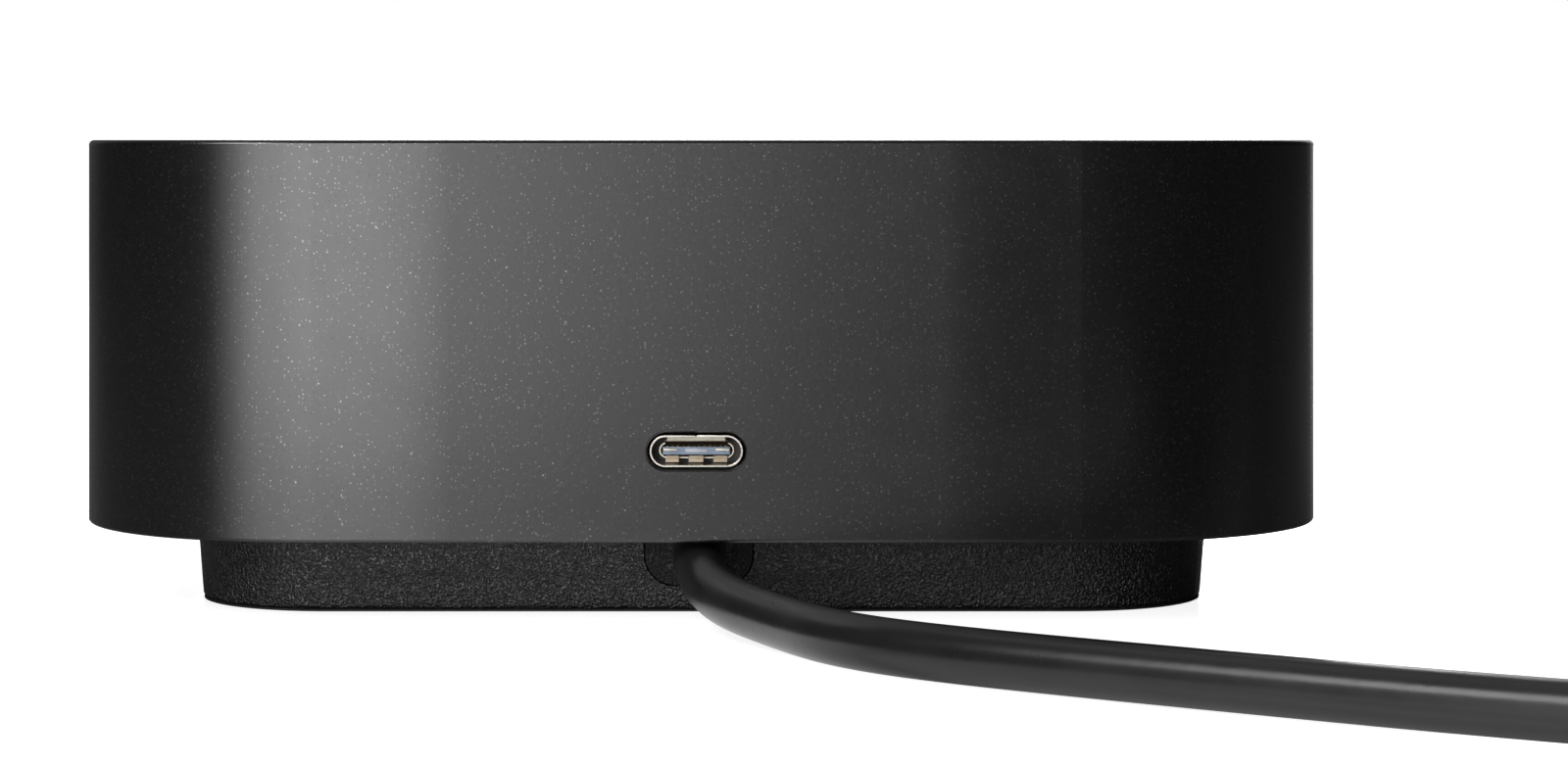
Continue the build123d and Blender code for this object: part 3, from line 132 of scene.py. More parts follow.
class Graph:
    """The node tree of one material or world."""

    def __init__(self, owner: bpy.types.Material | bpy.types.World) -> None:
        """Empties the owner's node tree.

        Args:
            owner: The material or world.
        """
        owner.use_nodes = True
        self.tree = owner.node_tree
        self.tree.nodes.clear()

    def node(self, kind: str, settings: dict | None = None, inputs: dict | None = None,
             output: int | str = 0) -> Wire | None:
        """Adds one node.

        Args:
            kind: The node's type.
            settings: Its options, set first.
            inputs: Values or links of its sockets, by name or number.
            output: The output that is returned.

        Returns:
            The chosen output, or None for a node that has none.
        """
        made = self.tree.nodes.new(kind)
        for name, value in (settings or {}).items():
            setattr(made, name, value)
        for key, value in (inputs or {}).items():
            if isinstance(value, Wire):
                self.tree.links.new(value.output, made.inputs[key])
            else:
                made.inputs[key].default_value = value
        return Wire(self, made.outputs[output]) if made.outputs else None

    def place(self, stretch: Triple = (1.0, 1.0, 1.0)) -> Wire:
        """The object's own coordinates in millimetres, stretched along each axis."""
        own = self.node("ShaderNodeTexCoord", output="Object")
        return self.node("ShaderNodeMapping", None,
                         {"Vector": own, "Scale": [axis / MM for axis in stretch]})

    def parts(self, vector: Wire) -> list[Wire]:
        """A vector's parts along X, Y and Z."""
        return [self.node("ShaderNodeSeparateXYZ", None, {0: vector}, axis) for axis in "XYZ"]

    def noise(self, place: Wire, size: float, detail: float = 2.0, rough: float = 0.5) -> Wire:
        """Soft noise from 0 to 1, its features about so many millimetres across."""
        return self.node("ShaderNodeTexNoise", None, {
            "Vector": place, "Scale": 1.0 / size, "Detail": detail, "Roughness": rough})

    def specks(self, place: Wire, spacing: float, radius: float) -> tuple[Wire, Wire]:
        """Scattered round specks.

        Args:
            place: Coordinates in millimetres.
            spacing: The mean distance between specks.
            radius: A speck's radius.

        Returns:
            A mask from 0 to 1, and a random number for each speck.
        """
        inputs = {"Vector": place, "Scale": 1.0 / spacing}
        near = self.node("ShaderNodeTexVoronoi", None, inputs)
        chance = self.node("ShaderNodeTexVoronoi", None, inputs, "Color")
        return ((near * spacing).ramp(0.7 * radius, radius, (1.0, 0.0)),
                self.node("ShaderNodeSeparateColor", None, {"Color": chance}))

    def blend(self, share: Wire, low: Wire | Colour, high: Wire | Colour) -> Wire:
        """Mixes two colours by a share from 0 to 1."""
        ends = [end if isinstance(end, Wire) else (*end, 1.0) for end in (low, high)]
        return self.node("ShaderNodeMix", {"data_type": "RGBA"}, {0: share, 6: ends[0], 7: ends[1]}, 2)

    def grey(self, value: Wire) -> Wire:
        """The grey of a value."""
        return self.node("ShaderNodeCombineColor", None, {0: value, 1: value, 2: value})

    def bump(self, height: Wire, depth: float, under: Wire | None = None) -> Wire:
        """Surface relief.

        Args:
            height: Its height, from 0 to 1.
            depth: How many millimetres a height of 1 stands out.
            under: The normal of finer relief that it lies under.

        Returns:
            The normal.
        """
        inputs = {"Height": height, "Distance": depth * MM, "Strength": 1.0}
        return self.node("ShaderNodeBump", None, inputs if under is None else inputs | {"Normal": under})

    def surface(self, **sockets: "Wire | float | Sequence[float]") -> None:
        """Joins a principled shader to the output.

        Args:
            sockets: Its sockets' values or links, with underscores in their names.
        """
        inputs = {name.replace("_", " "): value for name, value in sockets.items()}
        shader = self.node("ShaderNodeBsdfPrincipled", None, inputs)
        self.node("ShaderNodeOutputMaterial", None, {"Surface": shader})


# ---------------------------------------------------------------- finishes


@dataclass(frozen=True)
class Finish:
    """What every finish has: a name and a base colour. Sizes in finishes are in millimetres."""

    name: str
    colour: Colour

    def make(self) -> bpy.types.Material:
        """Builds the material.

        Returns:
            The material.
        """
        material = bpy.data.materials.new(self.name)
        self.shade(Graph(material))
        return material

    def shade(self, graph: Graph) -> None:
        """Builds the finish's nodes."""
        raise NotImplementedError

    def tint(self, strength: float) -> Colour:
        """The base colour, darker or paler."""
        return tuple(strength * part for part in self.colour)


@dataclass(frozen=True)
class FleckedPaint(Finish):
    """Charcoal paint with fine metal flakes under a satin face."""

    dull: Colour = (0.045, 0.045, 0.046)
    flake: Colour = (0.165, 0.165, 0.17)
    fine: Span = (0.34, 0.085)         # the small flakes' spacing and radius
    coarse: Span = (1.1, 0.12)         # and the large ones'
    mottle: float = 0.3
    peel: float = 0.5
    peel_depth: float = 0.004
    cloud: float = 4.0
    roughness: float = 0.26
    swing: float = 0.01                # of the roughness, either way
    scatter: float = 0.011             # what a flake adds to it
    specular: float = 0.7
    flat: Span = (23.0, 45.0)          # where a wall leaves the flat, from its middle
    ease: float = 0.66                 # how far it has fallen back at its end

    def shade(self, graph: Graph) -> None:
        """Flakes of two sizes, each duller or brighter, a faint mottle and orange peel.

        Args:
            graph: The node tree.
        """
        place = graph.place()
        fine, chance = graph.specks(place, *self.fine)
        coarse, luck = graph.specks(place, *self.coarse)
        mottle = graph.noise(place, self.mottle, 3.0, 0.65)
        colour = graph.blend(mottle.ramp(*MID), self.tint(0.7), self.tint(1.4))
        for mask, bright in ((fine, chance ** 1.7), (coarse, luck)):
            colour = graph.blend(mask, colour, graph.blend(bright, self.dull, self.flake))
        peel = graph.bump(graph.noise(place, self.peel, 2.0) + mottle * 0.4, self.peel_depth)
        flakes = fine.math("MAXIMUM", coarse)
        gloss = graph.noise(place, self.cloud).ramp(
            0.25, 0.75, (self.roughness - self.swing, self.roughness + self.swing))
        graph.surface(
            Base_Color=colour, Metallic=flakes, Roughness=gloss + flakes * self.scatter,
            Specular_IOR_Level=self.specular, Normal=self.eased(graph, place, peel))

    def eased(self, graph: Graph, place: Wire, relief: Wire) -> Wire:
        """Lets the flat walls run gently into the round corners, over the fine relief.

        Args:
            graph: The node tree.
            place: Coordinates in millimetres.
            relief: The normal of the fine relief.

        Returns:
            The normal of both.
        """
        across, along, _ = (part.math("ABSOLUTE") for part in graph.parts(place))
        normal = graph.node("ShaderNodeNewGeometry", output="Normal")
        upright = 1.0 - graph.parts(normal)[2].math("ABSOLUTE")
        drop = across.ramp(*self.flat) * along.ramp(*self.flat) * upright * -1.0
        return graph.bump(drop, self.ease, relief)


@dataclass(frozen=True)
class SparkTexture(Finish):
    """Moulded plastic with a coarse spark-eroded grain."""

    grain: float = 0.25
    depth: float = 0.115
    roughness: float = 0.34
    specular: float = 0.92
    fine: float = 0.35                 # the finest grain, as a share of the coarse

    def shade(self, graph: Graph) -> None:
        """Pebbled relief whose hollows are rougher than its tops and painted darker, its tops painted
        paler: a painted shade.

        Args:
            graph: The node tree.
        """
        place = graph.place()
        pebble = graph.noise(place, self.grain, 1.0, 0.5)
        relief = pebble.ramp(0.32, 0.68) + graph.noise(place, self.grain * self.fine, 1.0) * 0.25
        graph.surface(
            # painted shade: the pebble's hollows are coloured darker and its tops paler
            Base_Color=graph.blend(pebble.ramp(*MID), self.tint(0.75), self.tint(1.25)),
            Roughness=pebble.ramp(0.35, 0.7, (self.roughness + 0.12, self.roughness - 0.05)),
            Specular_IOR_Level=self.specular, Normal=graph.bump(relief, self.depth))


@dataclass(frozen=True)
class SatinPlastic(Finish):
    """Plain moulded plastic with a faint fine grain and handling marks."""

    roughness: float = 0.42
    grain: float = 0.18
    depth: float = 0.004
    mark: float = 6.0

    def shade(self, graph: Graph) -> None:
        """Fine grain, with slow changes of gloss.

        Args:
            graph: The node tree.
        """
        place = graph.place()
        grain = graph.noise(place, self.grain, 2.0)
        marks = graph.noise(place, self.mark, 4.0, 0.6)
        graph.surface(
            Base_Color=graph.blend(marks.ramp(0.35, 0.65), self.tint(0.88), self.tint(1.12)),
            Roughness=marks.ramp(*MID, (self.roughness - 0.04, self.roughness + 0.05)),
            Normal=graph.bump(grain, self.depth))


@dataclass(frozen=True)
class CableJacket(Finish):
    """Soft thermoplastic jacket: satin, with faint smudges and drawn-out ripples."""

    roughness: float = 0.28
    smudge: float = 9.0
    ripple: float = 2.6
    fine: float = 0.8
    depth: float = 0.01

    def shade(self, graph: Graph) -> None:
        """Smudges that vary gloss and shade, over a very shallow ripple.

        Args:
            graph: The node tree.
        """
        place = graph.place()
        smudge = graph.noise(place, self.smudge, 3.0, 0.6)
        ripple = graph.noise(place, self.ripple, 2.0, 0.5)
        fine = graph.noise(place, self.fine, 1.0)
        graph.surface(
            Base_Color=graph.blend(smudge.ramp(*MID), self.tint(0.85), self.tint(1.25)),
            Roughness=smudge.ramp(0.25, 0.75, (self.roughness - 0.02, self.roughness + 0.04)),
            Normal=graph.bump(ripple * 2.0 + fine * 0.6, self.depth))


@dataclass(frozen=True)
class Rubber(Finish):
    """Matt moulded rubber with a fine grain."""

    rub: float = 14.0
    grain: float = 0.35
    depth: float = 0.03

    def shade(self, graph: Graph) -> None:
        """Fine grain, paler and smoother where it has been rubbed.

        Args:
            graph: The node tree.
        """
        place = graph.place()
        rubbed = graph.noise(place, self.rub, 5.0, 0.65)
        grain = graph.noise(place, self.grain, 2.0)
        graph.surface(
            Base_Color=graph.blend(rubbed.ramp(0.45, 0.75), self.colour, self.tint(1.4)),
            Roughness=rubbed.ramp(0.4, 0.7, (0.75, 0.62)), Normal=graph.bump(grain, self.depth))


@dataclass(frozen=True)
class DrawnMetal(Finish):
    """Plated or bare sheet metal with fine drawing lines along one axis."""

    roughness: float = 0.28
    lines: Lines = Lines.ACROSS
    depth: float = 0.002
    spacing: float = 0.09
    tarnish: float = 1.8

    def shade(self, graph: Graph) -> None:
        """Drawing lines in gloss and relief, with a slight tarnish.

        Args:
            graph: The node tree.
        """
        lines = graph.noise(graph.place(self.lines.value), self.spacing, 3.0, 0.6)
        tarnish = graph.noise(graph.place(), self.tarnish, 4.0, 0.6)
        graph.surface(
            Base_Color=graph.blend(tarnish.ramp(0.4, 0.75), self.colour, self.tint(0.78)),
            Metallic=1.0,
            Roughness=lines.ramp(*MID, (self.roughness - 0.08, self.roughness + 0.1)),
            Normal=graph.bump(lines, self.depth))


@dataclass(frozen=True)
class CircuitBoard(Finish):
    """Solder mask over copper, with a woven core showing faintly."""

    copper: float = 5.0
    threads: float = 1.2
    depth: float = 0.004

    def shade(self, graph: Graph) -> None:
        """A fine weave under gloss, paler over the copper.

        Args:
            graph: The node tree.
        """
        place = graph.place()
        copper = graph.noise(place, self.copper, 1.0)
        weave = graph.node("ShaderNodeTexWave", {"wave_type": "BANDS"},
                           {"Vector": place, "Scale": self.threads}, "Fac")
        graph.surface(
            Base_Color=graph.blend(copper.ramp(0.48, 0.52), self.colour, self.tint(1.5)),
            Roughness=weave.ramp(0.0, 1.0, (0.3, 0.38)), Normal=graph.bump(weave, self.depth))


@dataclass(frozen=True)
class StrapWeave(Finish):
    """Hook-and-loop tape: a napped face over a ribbed weave."""

    rib: float = 0.55
    nap: float = 0.16
    depth: float = 0.12
    wave: float = 0.314                # between a wave texture's bands, at a scale of 1

    def shade(self, graph: Graph) -> None:
        """Ribs across the tape under a fine nap, whose raised fibres are painted paler and low ones
        darker as painted shade.

        Args:
            graph: The node tree.
        """
        place = graph.place()
        ribs = graph.node("ShaderNodeTexWave", {"wave_type": "BANDS", "bands_direction": "Y"},
                          {"Vector": place, "Scale": self.wave / self.rib, "Distortion": 0.6}, "Fac")
        nap = graph.noise(place, self.nap, 3.0, 0.7)
        graph.surface(
            # painted shade: the nap's raised fibres are coloured paler and its low ones darker
            Base_Color=graph.blend(nap.ramp(*MID), self.tint(0.6), self.tint(1.7)),
            Roughness=nap.ramp(*MID, (0.85, 0.95)), Sheen_Weight=0.35, Sheen_Roughness=0.5,
            Normal=graph.bump(ribs * 0.5 + nap, self.depth))


@dataclass(frozen=True)
class ClearLens(Finish):
    """A frosted clear light guide."""

    frost: float = 0.2
    clear: float = 0.35

    def shade(self, graph: Graph) -> None:
        """Slightly milky plastic with a frosted face."""
        frost = graph.noise(graph.place(), self.frost, 2.0)
        graph.surface(
            Base_Color=graph.blend(frost, self.tint(0.9), self.colour),
            Roughness=frost.ramp(*MID, (0.25, 0.4)), Transmission_Weight=self.clear, IOR=1.5)


class Finishes:
    """Every material, by the record's slot, made once."""

    NICKEL = DrawnMetal("spring_nickel", (0.66, 0.60, 0.50), 0.35)
    STAMPED = DrawnMetal("stamped_steel", (0.37, 0.345, 0.29), 0.35)
    SPRUNG = DrawnMetal("spring_plate", (0.33, 0.272, 0.20), 0.35)
    # painted shade: a dark brown bronze that stands in for the shade under the socket's lip
    BRONZE = DrawnMetal("spring_bronze_painted_shade", (0.22, 0.15, 0.09), 0.45)
    BLUED = DrawnMetal("tongue_blued", (0.20, 0.24, 0.30), 0.45)
    PALE = DrawnMetal("tongue_pale", (0.38, 0.39, 0.44), 0.42)
    CORE = SatinPlastic("socket_core", (0.05, 0.05, 0.052), 0.5, grain=0.12, depth=0.02)
    ALL = (
        FleckedPaint("housing_paint", (0.0036, 0.0036, 0.0038)),
        SparkTexture("plinth_black", (0.002, 0.002, 0.0021)),
        Rubber("sole_rubber", (0.012, 0.012, 0.012)),
        DrawnMetal("screw_steel", (0.45, 0.45, 0.47), 0.35),
        DrawnMetal("ballast_steel", (0.42, 0.42, 0.44), 0.4),
        SparkTexture("collar_black", (0.002, 0.002, 0.0021), grain=0.22, depth=0.09,
                     roughness=0.5, specular=0.5),
        CableJacket("cord_jacket", (0.0075, 0.0075, 0.0078)),
        SatinPlastic("connector_plastic", (0.62, 0.60, 0.55)),
        SatinPlastic("inner_plastic", (0.02, 0.02, 0.02)),
        StrapWeave("tie_fabric", (0.012, 0.012, 0.013)),
        SatinPlastic("plug_grip_black", (0.014, 0.014, 0.0145), 0.5, grain=0.3, depth=0.012),
        DrawnMetal("plug_steel", (0.66, 0.65, 0.63), 0.22),
        DrawnMetal("port_steel", (0.72, 0.68, 0.61)),
        SatinPlastic("tongue_black", (0.02, 0.022, 0.026)),
        DrawnMetal("contact_gold", (0.83, 0.60, 0.28), 0.25),
        SatinPlastic("jack_black", (0.012, 0.012, 0.012), 0.5),
        DrawnMetal("lock_steel", (0.5, 0.5, 0.52), 0.35),
        SatinPlastic("panel_black", (0.014, 0.014, 0.0145), 0.5, grain=0.3, depth=0.02),
        ClearLens("lamp_clear", (0.85, 0.88, 0.85)),
        CircuitBoard("board_green", (0.01, 0.05, 0.025)),
        SatinPlastic("chip_black", (0.015, 0.015, 0.016), 0.6, grain=0.1, depth=0.01),
        Rubber("pad_grey", (0.3, 0.32, 0.36)),
        DrawnMetal("heatsink_aluminium", (0.7, 0.7, 0.72), 0.35, Lines.DEEP),
        SatinPlastic("ferrite_grey", (0.05, 0.05, 0.052), 0.55, grain=0.2, depth=0.01),
        DrawnMetal("can_aluminium", (0.72, 0.72, 0.74), 0.25),
        SatinPlastic("button_black", (0.01, 0.01, 0.0105), 0.32),
        SatinPlastic("switch_plastic", (0.03, 0.03, 0.03)),
        SatinPlastic("plunger_plastic", (0.5, 0.47, 0.4)),
        SatinPlastic("ribbon_white", (0.7, 0.72, 0.76), 0.3),
    )
    BY_SLOT: dict[str, Finish] = {finish.name: finish for finish in ALL}

    def __init__(self) -> None:
        """Builds nothing yet."""
        self.made: dict[Finish, bpy.types.Material] = {}

    def of(self, finish: Finish) -> bpy.types.Material:
        """The material of a finish.

        Args:
            finish: The finish.

        Returns:
            Its material, built at its first use.
        """
        if finish not in self.made:
            self.made[finish] = finish.make()
        return self.made[finish]

    def dress_nodes(self) -> None:
        """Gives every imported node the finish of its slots."""
        for node in frame["nodes"].values():
            for slot in node.material_slots:
                slot.material = self.of(self.BY_SLOT[slot.material.name.split(".")[0]])
        log.info("finishes: %d", len(self.made))


# ---------------------------------------------------------------- making pieces


def add_object(name: str, data: bpy.types.ID) -> bpy.types.Object:
    """Puts an object with this data into the scene.

    Args:
        name: The object's name.
        data: Its mesh, curve, lamp or camera.

    Returns:
        The object.
    """
    made = bpy.data.objects.new(name, data)
    bpy.context.scene.collection.objects.link(made)
    return made


@dataclass
class Maker:
    """Turns finished meshes into pieces that ride, with a slot and a finish."""

    finishes: Finishes = field(default_factory=Finishes)
    merge: float = 1e-7
    sharp: float = 35.0                # degrees past which an edge stays sharp

    def piece(self, name: str, mesh: bmesh.types.BMesh, slot: str, finish: Finish | None = None,
              bevel: float = 0.0) -> bpy.types.Object:
        """Makes an object of a mesh.

        Args:
            name: The piece's name.
            mesh: Its mesh, in place; it is freed.
            slot: The record's slot.
            finish: Its finish, or the slot's.
            bevel: Width of a bevel round its sharp edges, in millimetres.

        Returns:
            The object.
        """
        bmesh.ops.remove_doubles(mesh, verts=mesh.verts, dist=self.merge)
        bmesh.ops.recalc_face_normals(mesh, faces=mesh.faces)
        data = bpy.data.meshes.new(name)
        mesh.to_mesh(data)
        mesh.free()
        for face in data.polygons:
            face.use_smooth = True
        data.set_sharp_from_angle(angle=math.radians(self.sharp))
        made = add_object(name, data)
        data.materials.append(self.finishes.of(finish or Finishes.BY_SLOT[slot]))
        if bevel:
            edge = made.modifiers.new("edge", "BEVEL")
            edge.width, edge.segments, edge.limit_method = bevel * MM, 2, "ANGLE"
        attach(made, DOCK)
        log.info("piece %s: %d faces", name, len(data.polygons))
        return made


def slab(mesh: bmesh.types.BMesh, low: Vector, high: Vector) -> list[bmesh.types.BMVert]:
    """Adds a block between two corners, and gives its vertices."""
    place = Matrix.Translation((low + high) / 2) @ Matrix.Diagonal((*(high - low), 1.0))
    return bmesh.ops.create_cube(mesh, size=1.0, matrix=place)["verts"]


def outline(mesh: bmesh.types.BMesh, size: Span, corner: float, segments: int,
            filled: bool = False) -> list[bmesh.types.BMVert]:
    """Adds the outline of a flat shape with round corners, about the origin.

    Args:
        mesh: The mesh that it is added to.
        size: Its width and length.
        corner: Its corners' radius.
        segments: The edges that its corners have in all.
        filled: Whether it is a face.

    Returns:
        Its vertices.
    """
    turn = Matrix.Rotation(math.pi / segments, 4, "Z")
    verts = bmesh.ops.create_circle(mesh, cap_ends=filled, radius=corner, segments=segments,
                                    matrix=turn)["verts"]
    for vert in verts:
        apart = [math.copysign(side / 2 - corner, part) for side, part in zip(size, vert.co.xy)]
        bmesh.ops.translate(mesh, verts=[vert], vec=(*apart, 0.0))
    return verts


def grown(mesh: bmesh.types.BMesh, edges: Sequence[bmesh.types.BMEdge]) -> list[bmesh.types.BMVert]:
    """Extrudes edges and gives the new vertices, still where the old ones are."""
    made = bmesh.ops.extrude_edge_only(mesh, edges=edges)["geom"]
    return [item for item in made if isinstance(item, bmesh.types.BMVert)]


def sweep(mesh: bmesh.types.BMesh, start: Sequence[Vector], path: Sequence[Vector]) -> None:
    """Draws a strip of faces by carrying an edge along a path.

    Args:
        mesh: The mesh that it is added to.
        start: The edge's two ends at the path's first point.
        path: The points that it is carried along.
    """
    edge = mesh.edges.new([mesh.verts.new(point) for point in start])
    for before, after in zip(path, path[1:]):
        made = bmesh.ops.extrude_edge_only(mesh, edges=[edge])["geom"]
        edge = next(item for item in made if isinstance(item, bmesh.types.BMEdge))
        bmesh.ops.translate(mesh, verts=edge.verts, vec=after - before)


def thicken(mesh: bmesh.types.BMesh, thickness: float) -> None:
    """Turns a tube's faces one way, then gives its wall its thickness."""
    bmesh.ops.recalc_face_normals(mesh, faces=mesh.faces)
    bmesh.ops.solidify(mesh, geom=mesh.faces[:], thickness=thickness)


# ---------------------------------------------------------------- camera and studio


@dataclass
class Shot:
    """The camera: level, at the height of the housing's top, a little right of its middle."""

    place: Vector = field(default_factory=lambda: Vector((8.2, -406.0, 45.5)) * MM)
    lens: float = 84.8
    sensor: float = 36.0
    shift_y: float = -0.1547
    reach: Span = (0.01, 50.0)

    def make(self) -> None:
        """Makes it the scene's camera."""
        data = bpy.data.cameras.new("camera")
        data.lens, data.sensor_width, data.shift_y = self.lens, self.sensor, self.shift_y
        data.clip_start, data.clip_end = self.reach
        camera = add_object("camera", data)
        camera.location = self.place
        camera.rotation_euler = (math.pi / 2, 0.0, 0.0)
        bpy.context.scene.camera = camera


@dataclass
class Lamp:
    """A rectangular soft light, aimed at a point, of an even brightness."""

    name: str
    place: Vector
    aim: Vector
    width: float
    height: float
    radiance: float
    FRONT = -0.66                      # where the panels ahead stand,
    MIDDLE = 0.2                       # how high their middle is,
    TALL = 0.96                        # and how tall they are

    @classmethod
    def ahead(cls, name: str, left: float, right: float, radiance: float) -> "Lamp":
        """One upright panel of the light in front, between two places along X."""
        place, away = Vector(((left + right) / 2, cls.FRONT, cls.MIDDLE)), Vector((0.0, 1.0, 0.0))
        return cls(name, place, place + away, right - left, cls.TALL, radiance)

    def make(self) -> None:
        """Adds the light."""
        data = bpy.data.lights.new(self.name, "AREA")
        data.shape, data.size, data.size_y = "RECTANGLE", self.width, self.height
        data.energy = self.radiance * math.pi * self.width * self.height
        lamp = add_object(self.name, data)
        lamp.location = self.place
        lamp.rotation_euler = (self.aim - self.place).to_track_quat("-Z", "Y").to_euler()
        lamp.visible_camera = False


@dataclass(frozen=True)
class Fade:
    """A soft-edged stretch of a place or of a direction: where it rises and where it ends."""

    rise: Span
    fall: Span
    left: float = 0.0                  # what is left past its end

    def mask(self, place: Wire) -> Wire:
        """1 within the stretch, 0 before it, and what is left past it."""
        return place.ramp(*self.rise) * place.ramp(*self.fall, (1.0, self.left))


@dataclass
class Studio:
    """A pale table that ends ahead, a white backdrop, soft light to the front left and behind."""

    floor_side: float = 30.0
    floor_front: float = -0.21
    floor_grey: float = 0.62
    floor_gloss_grey: float = 0.15     # how dark the floor is in the object's gloss
    floor_roughness: float = 0.22
    white_near: float = 0.85           # what whitens it for the camera, at the object
    white_reach: Span = (0.2, 0.9)     # and from where it is wholly white
    pool: float = 1.1                  # the glow in front of the plinth, for the object only
    pool_across: Fade = Fade((-0.062, -0.036), (-0.001, 0.042), 0.05)
    pool_along: Fade = Fade((-0.112, -0.076), (-0.067, -0.053))
    strip: float = 0.72                # the glow along the cable
    strip_way: Span = (-0.566, -0.824)
    strip_ahead: Fade = Fade((0.067, 0.0705), (0.09, 0.115))
    strip_start: Span = (-0.008, 0.016)
    rim_start: Span = (0.02, 0.1)      # the bright floor behind, for the housing's right rim
    rim_turn: Fade = Fade((-0.35, -0.1), (0.25, 0.47), 0.03)
    backdrop_start: Span = (0.6, 0.75)
    backdrop_across: Fade = Fade((-0.2, 0.1), (0.25, 0.47), 0.03)
    fill: float = 0.15
    gloss_fill: float = 0.02
    gloss_left: float = 0.1
    left_across: Fade = Fade((-0.8, -0.5), (-0.2, 0.0))
    lamps: tuple[Lamp, ...] = (
        Lamp.ahead("wing", -0.72, -0.55, 1.6),
        Lamp.ahead("key", -0.55, -0.26, 4.2),
        Lamp.ahead("edge", -0.26, -0.10, 5.5),
        Lamp.ahead("side", -0.10, 0.01, 1.4),
        Lamp("high", Vector((-0.44, -0.415, 0.55)), Vector((0.06, -0.08, 0.0)), 0.3, 0.28, 8.5),
        Lamp("top", Vector((0.0, 0.15, 0.9)), Vector((0.0, 0.1, 0.0)), 0.9, 0.7, 0.4),
        Lamp("rear", Vector((0.0, 0.75, 0.22)), Vector((0.0, 0.0, 0.03)), 0.34, 0.34, 8.0),
    )

    def make(self) -> None:
        """Makes the floor, the world and the lamps."""
        mesh = bmesh.new()
        bmesh.ops.create_grid(mesh, x_segments=1, y_segments=1, size=self.floor_side / 2)
        ahead = Vector((0.0, self.floor_front + self.floor_side / 2, 0.0))
        bmesh.ops.translate(mesh, verts=mesh.verts, vec=ahead)
        data = bpy.data.meshes.new("floor")
        mesh.to_mesh(data)
        mesh.free()
        floor = add_object("floor", data)
        data.materials.append(self.floor_material())
        self.light_world()
        for lamp in self.lamps:
            lamp.make()
        bpy.context.scene.view_settings.view_transform = "Standard"
        log.info("studio: %d lamps", len(self.lamps))

    def floor_material(self) -> bpy.types.Material:
        """Pale satin floor that keeps shadows and shows white to the camera.

        Returns:
            The material.
        """
        material = bpy.data.materials.new("floor")
        graph = Graph(material)
        place = graph.node("ShaderNodeTexCoord", output="Object")
        away = graph.node("ShaderNodeVectorMath", {"operation": "LENGTH"}, {0: place}, "Value")
        across, along, _ = graph.parts(place)
        camera, gloss = self.seen(graph)
        white = camera * away.ramp(*self.white_reach, (self.white_near, 1.0))
        glow = (white + gloss * self.rim_light(across, along)
                + (1.0 - camera) * self.glowing(across, along))
        grey = gloss * (self.floor_gloss_grey - self.floor_grey) + self.floor_grey
        graph.surface(Base_Color=graph.grey(grey), Roughness=self.floor_roughness,
                      Emission_Color=graph.grey(glow), Emission_Strength=1.0)
        return material

    def rim_light(self, across: Wire, along: Wire) -> Wire:
        """The bright floor behind, by the way that it lies in from the housing's right side.

        Args:
            across: The place along X.
            along: The place along Y.

        Returns:
            A mask from 0 to 1.
        """
        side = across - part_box("housing")[1].x
        turned = side / (side * side + along * along) ** 0.5
        return along.ramp(*self.rim_start) * self.rim_turn.mask(turned)

    def glowing(self, across: Wire, along: Wire) -> Wire:
        """The two patches of floor that light the plinth and the cable from below.

        Args:
            across: The place along X.
            along: The place along Y.

        Returns:
            Their strength.
        """
        pool = self.pool_across.mask(across) * self.pool_along.mask(along)
        ahead = across * self.strip_way[0] + along * self.strip_way[1]
        strip = self.strip_ahead.mask(ahead) * across.ramp(*self.strip_start)
        return (pool * self.pool).math("MAXIMUM", strip * self.strip)

    @staticmethod
    def seen(graph: Graph) -> tuple[Wire, Wire]:
        """What a ray is for.

        Args:
            graph: The node tree.

        Returns:
            1 for rays from the camera, and 1 for those that gloss and glass send out.
        """
        camera, glossy, clear = (
            graph.node("ShaderNodeLightPath", output=output)
            for output in ("Is Camera Ray", "Is Glossy Ray", "Is Transmission Ray"))
        return camera, glossy.math("MAXIMUM", clear)

    def light_world(self) -> None:
        """White to the camera, a white backdrop behind in gloss, and a dim fill elsewhere."""
        world = bpy.data.worlds.new("studio")
        bpy.context.scene.world = world
        graph = Graph(world)
        across, along, _ = graph.parts(graph.node("ShaderNodeTexCoord", output="Generated"))
        camera, gloss = self.seen(graph)
        rear = along.ramp(*self.backdrop_start) * self.backdrop_across.mask(across)
        left = self.left_across.mask(across) * self.gloss_left
        dim = gloss * (left + (self.gloss_fill - self.fill)) + self.fill
        white = camera.math("MAXIMUM", gloss * rear)
        light = graph.node("ShaderNodeBackground", None, {
            "Color": (1.0, 1.0, 1.0, 1.0), "Strength": white.math("MAXIMUM", dim)})
        graph.node("ShaderNodeOutputWorld", None, {"Surface": light})


# ---------------------------------------------------------------- cable


@dataclass(frozen=True)
class Leg:
    """A stretch of the coil, in turns, between two radii and two heights."""

    turns: float
    radii: Span
    heights: Span


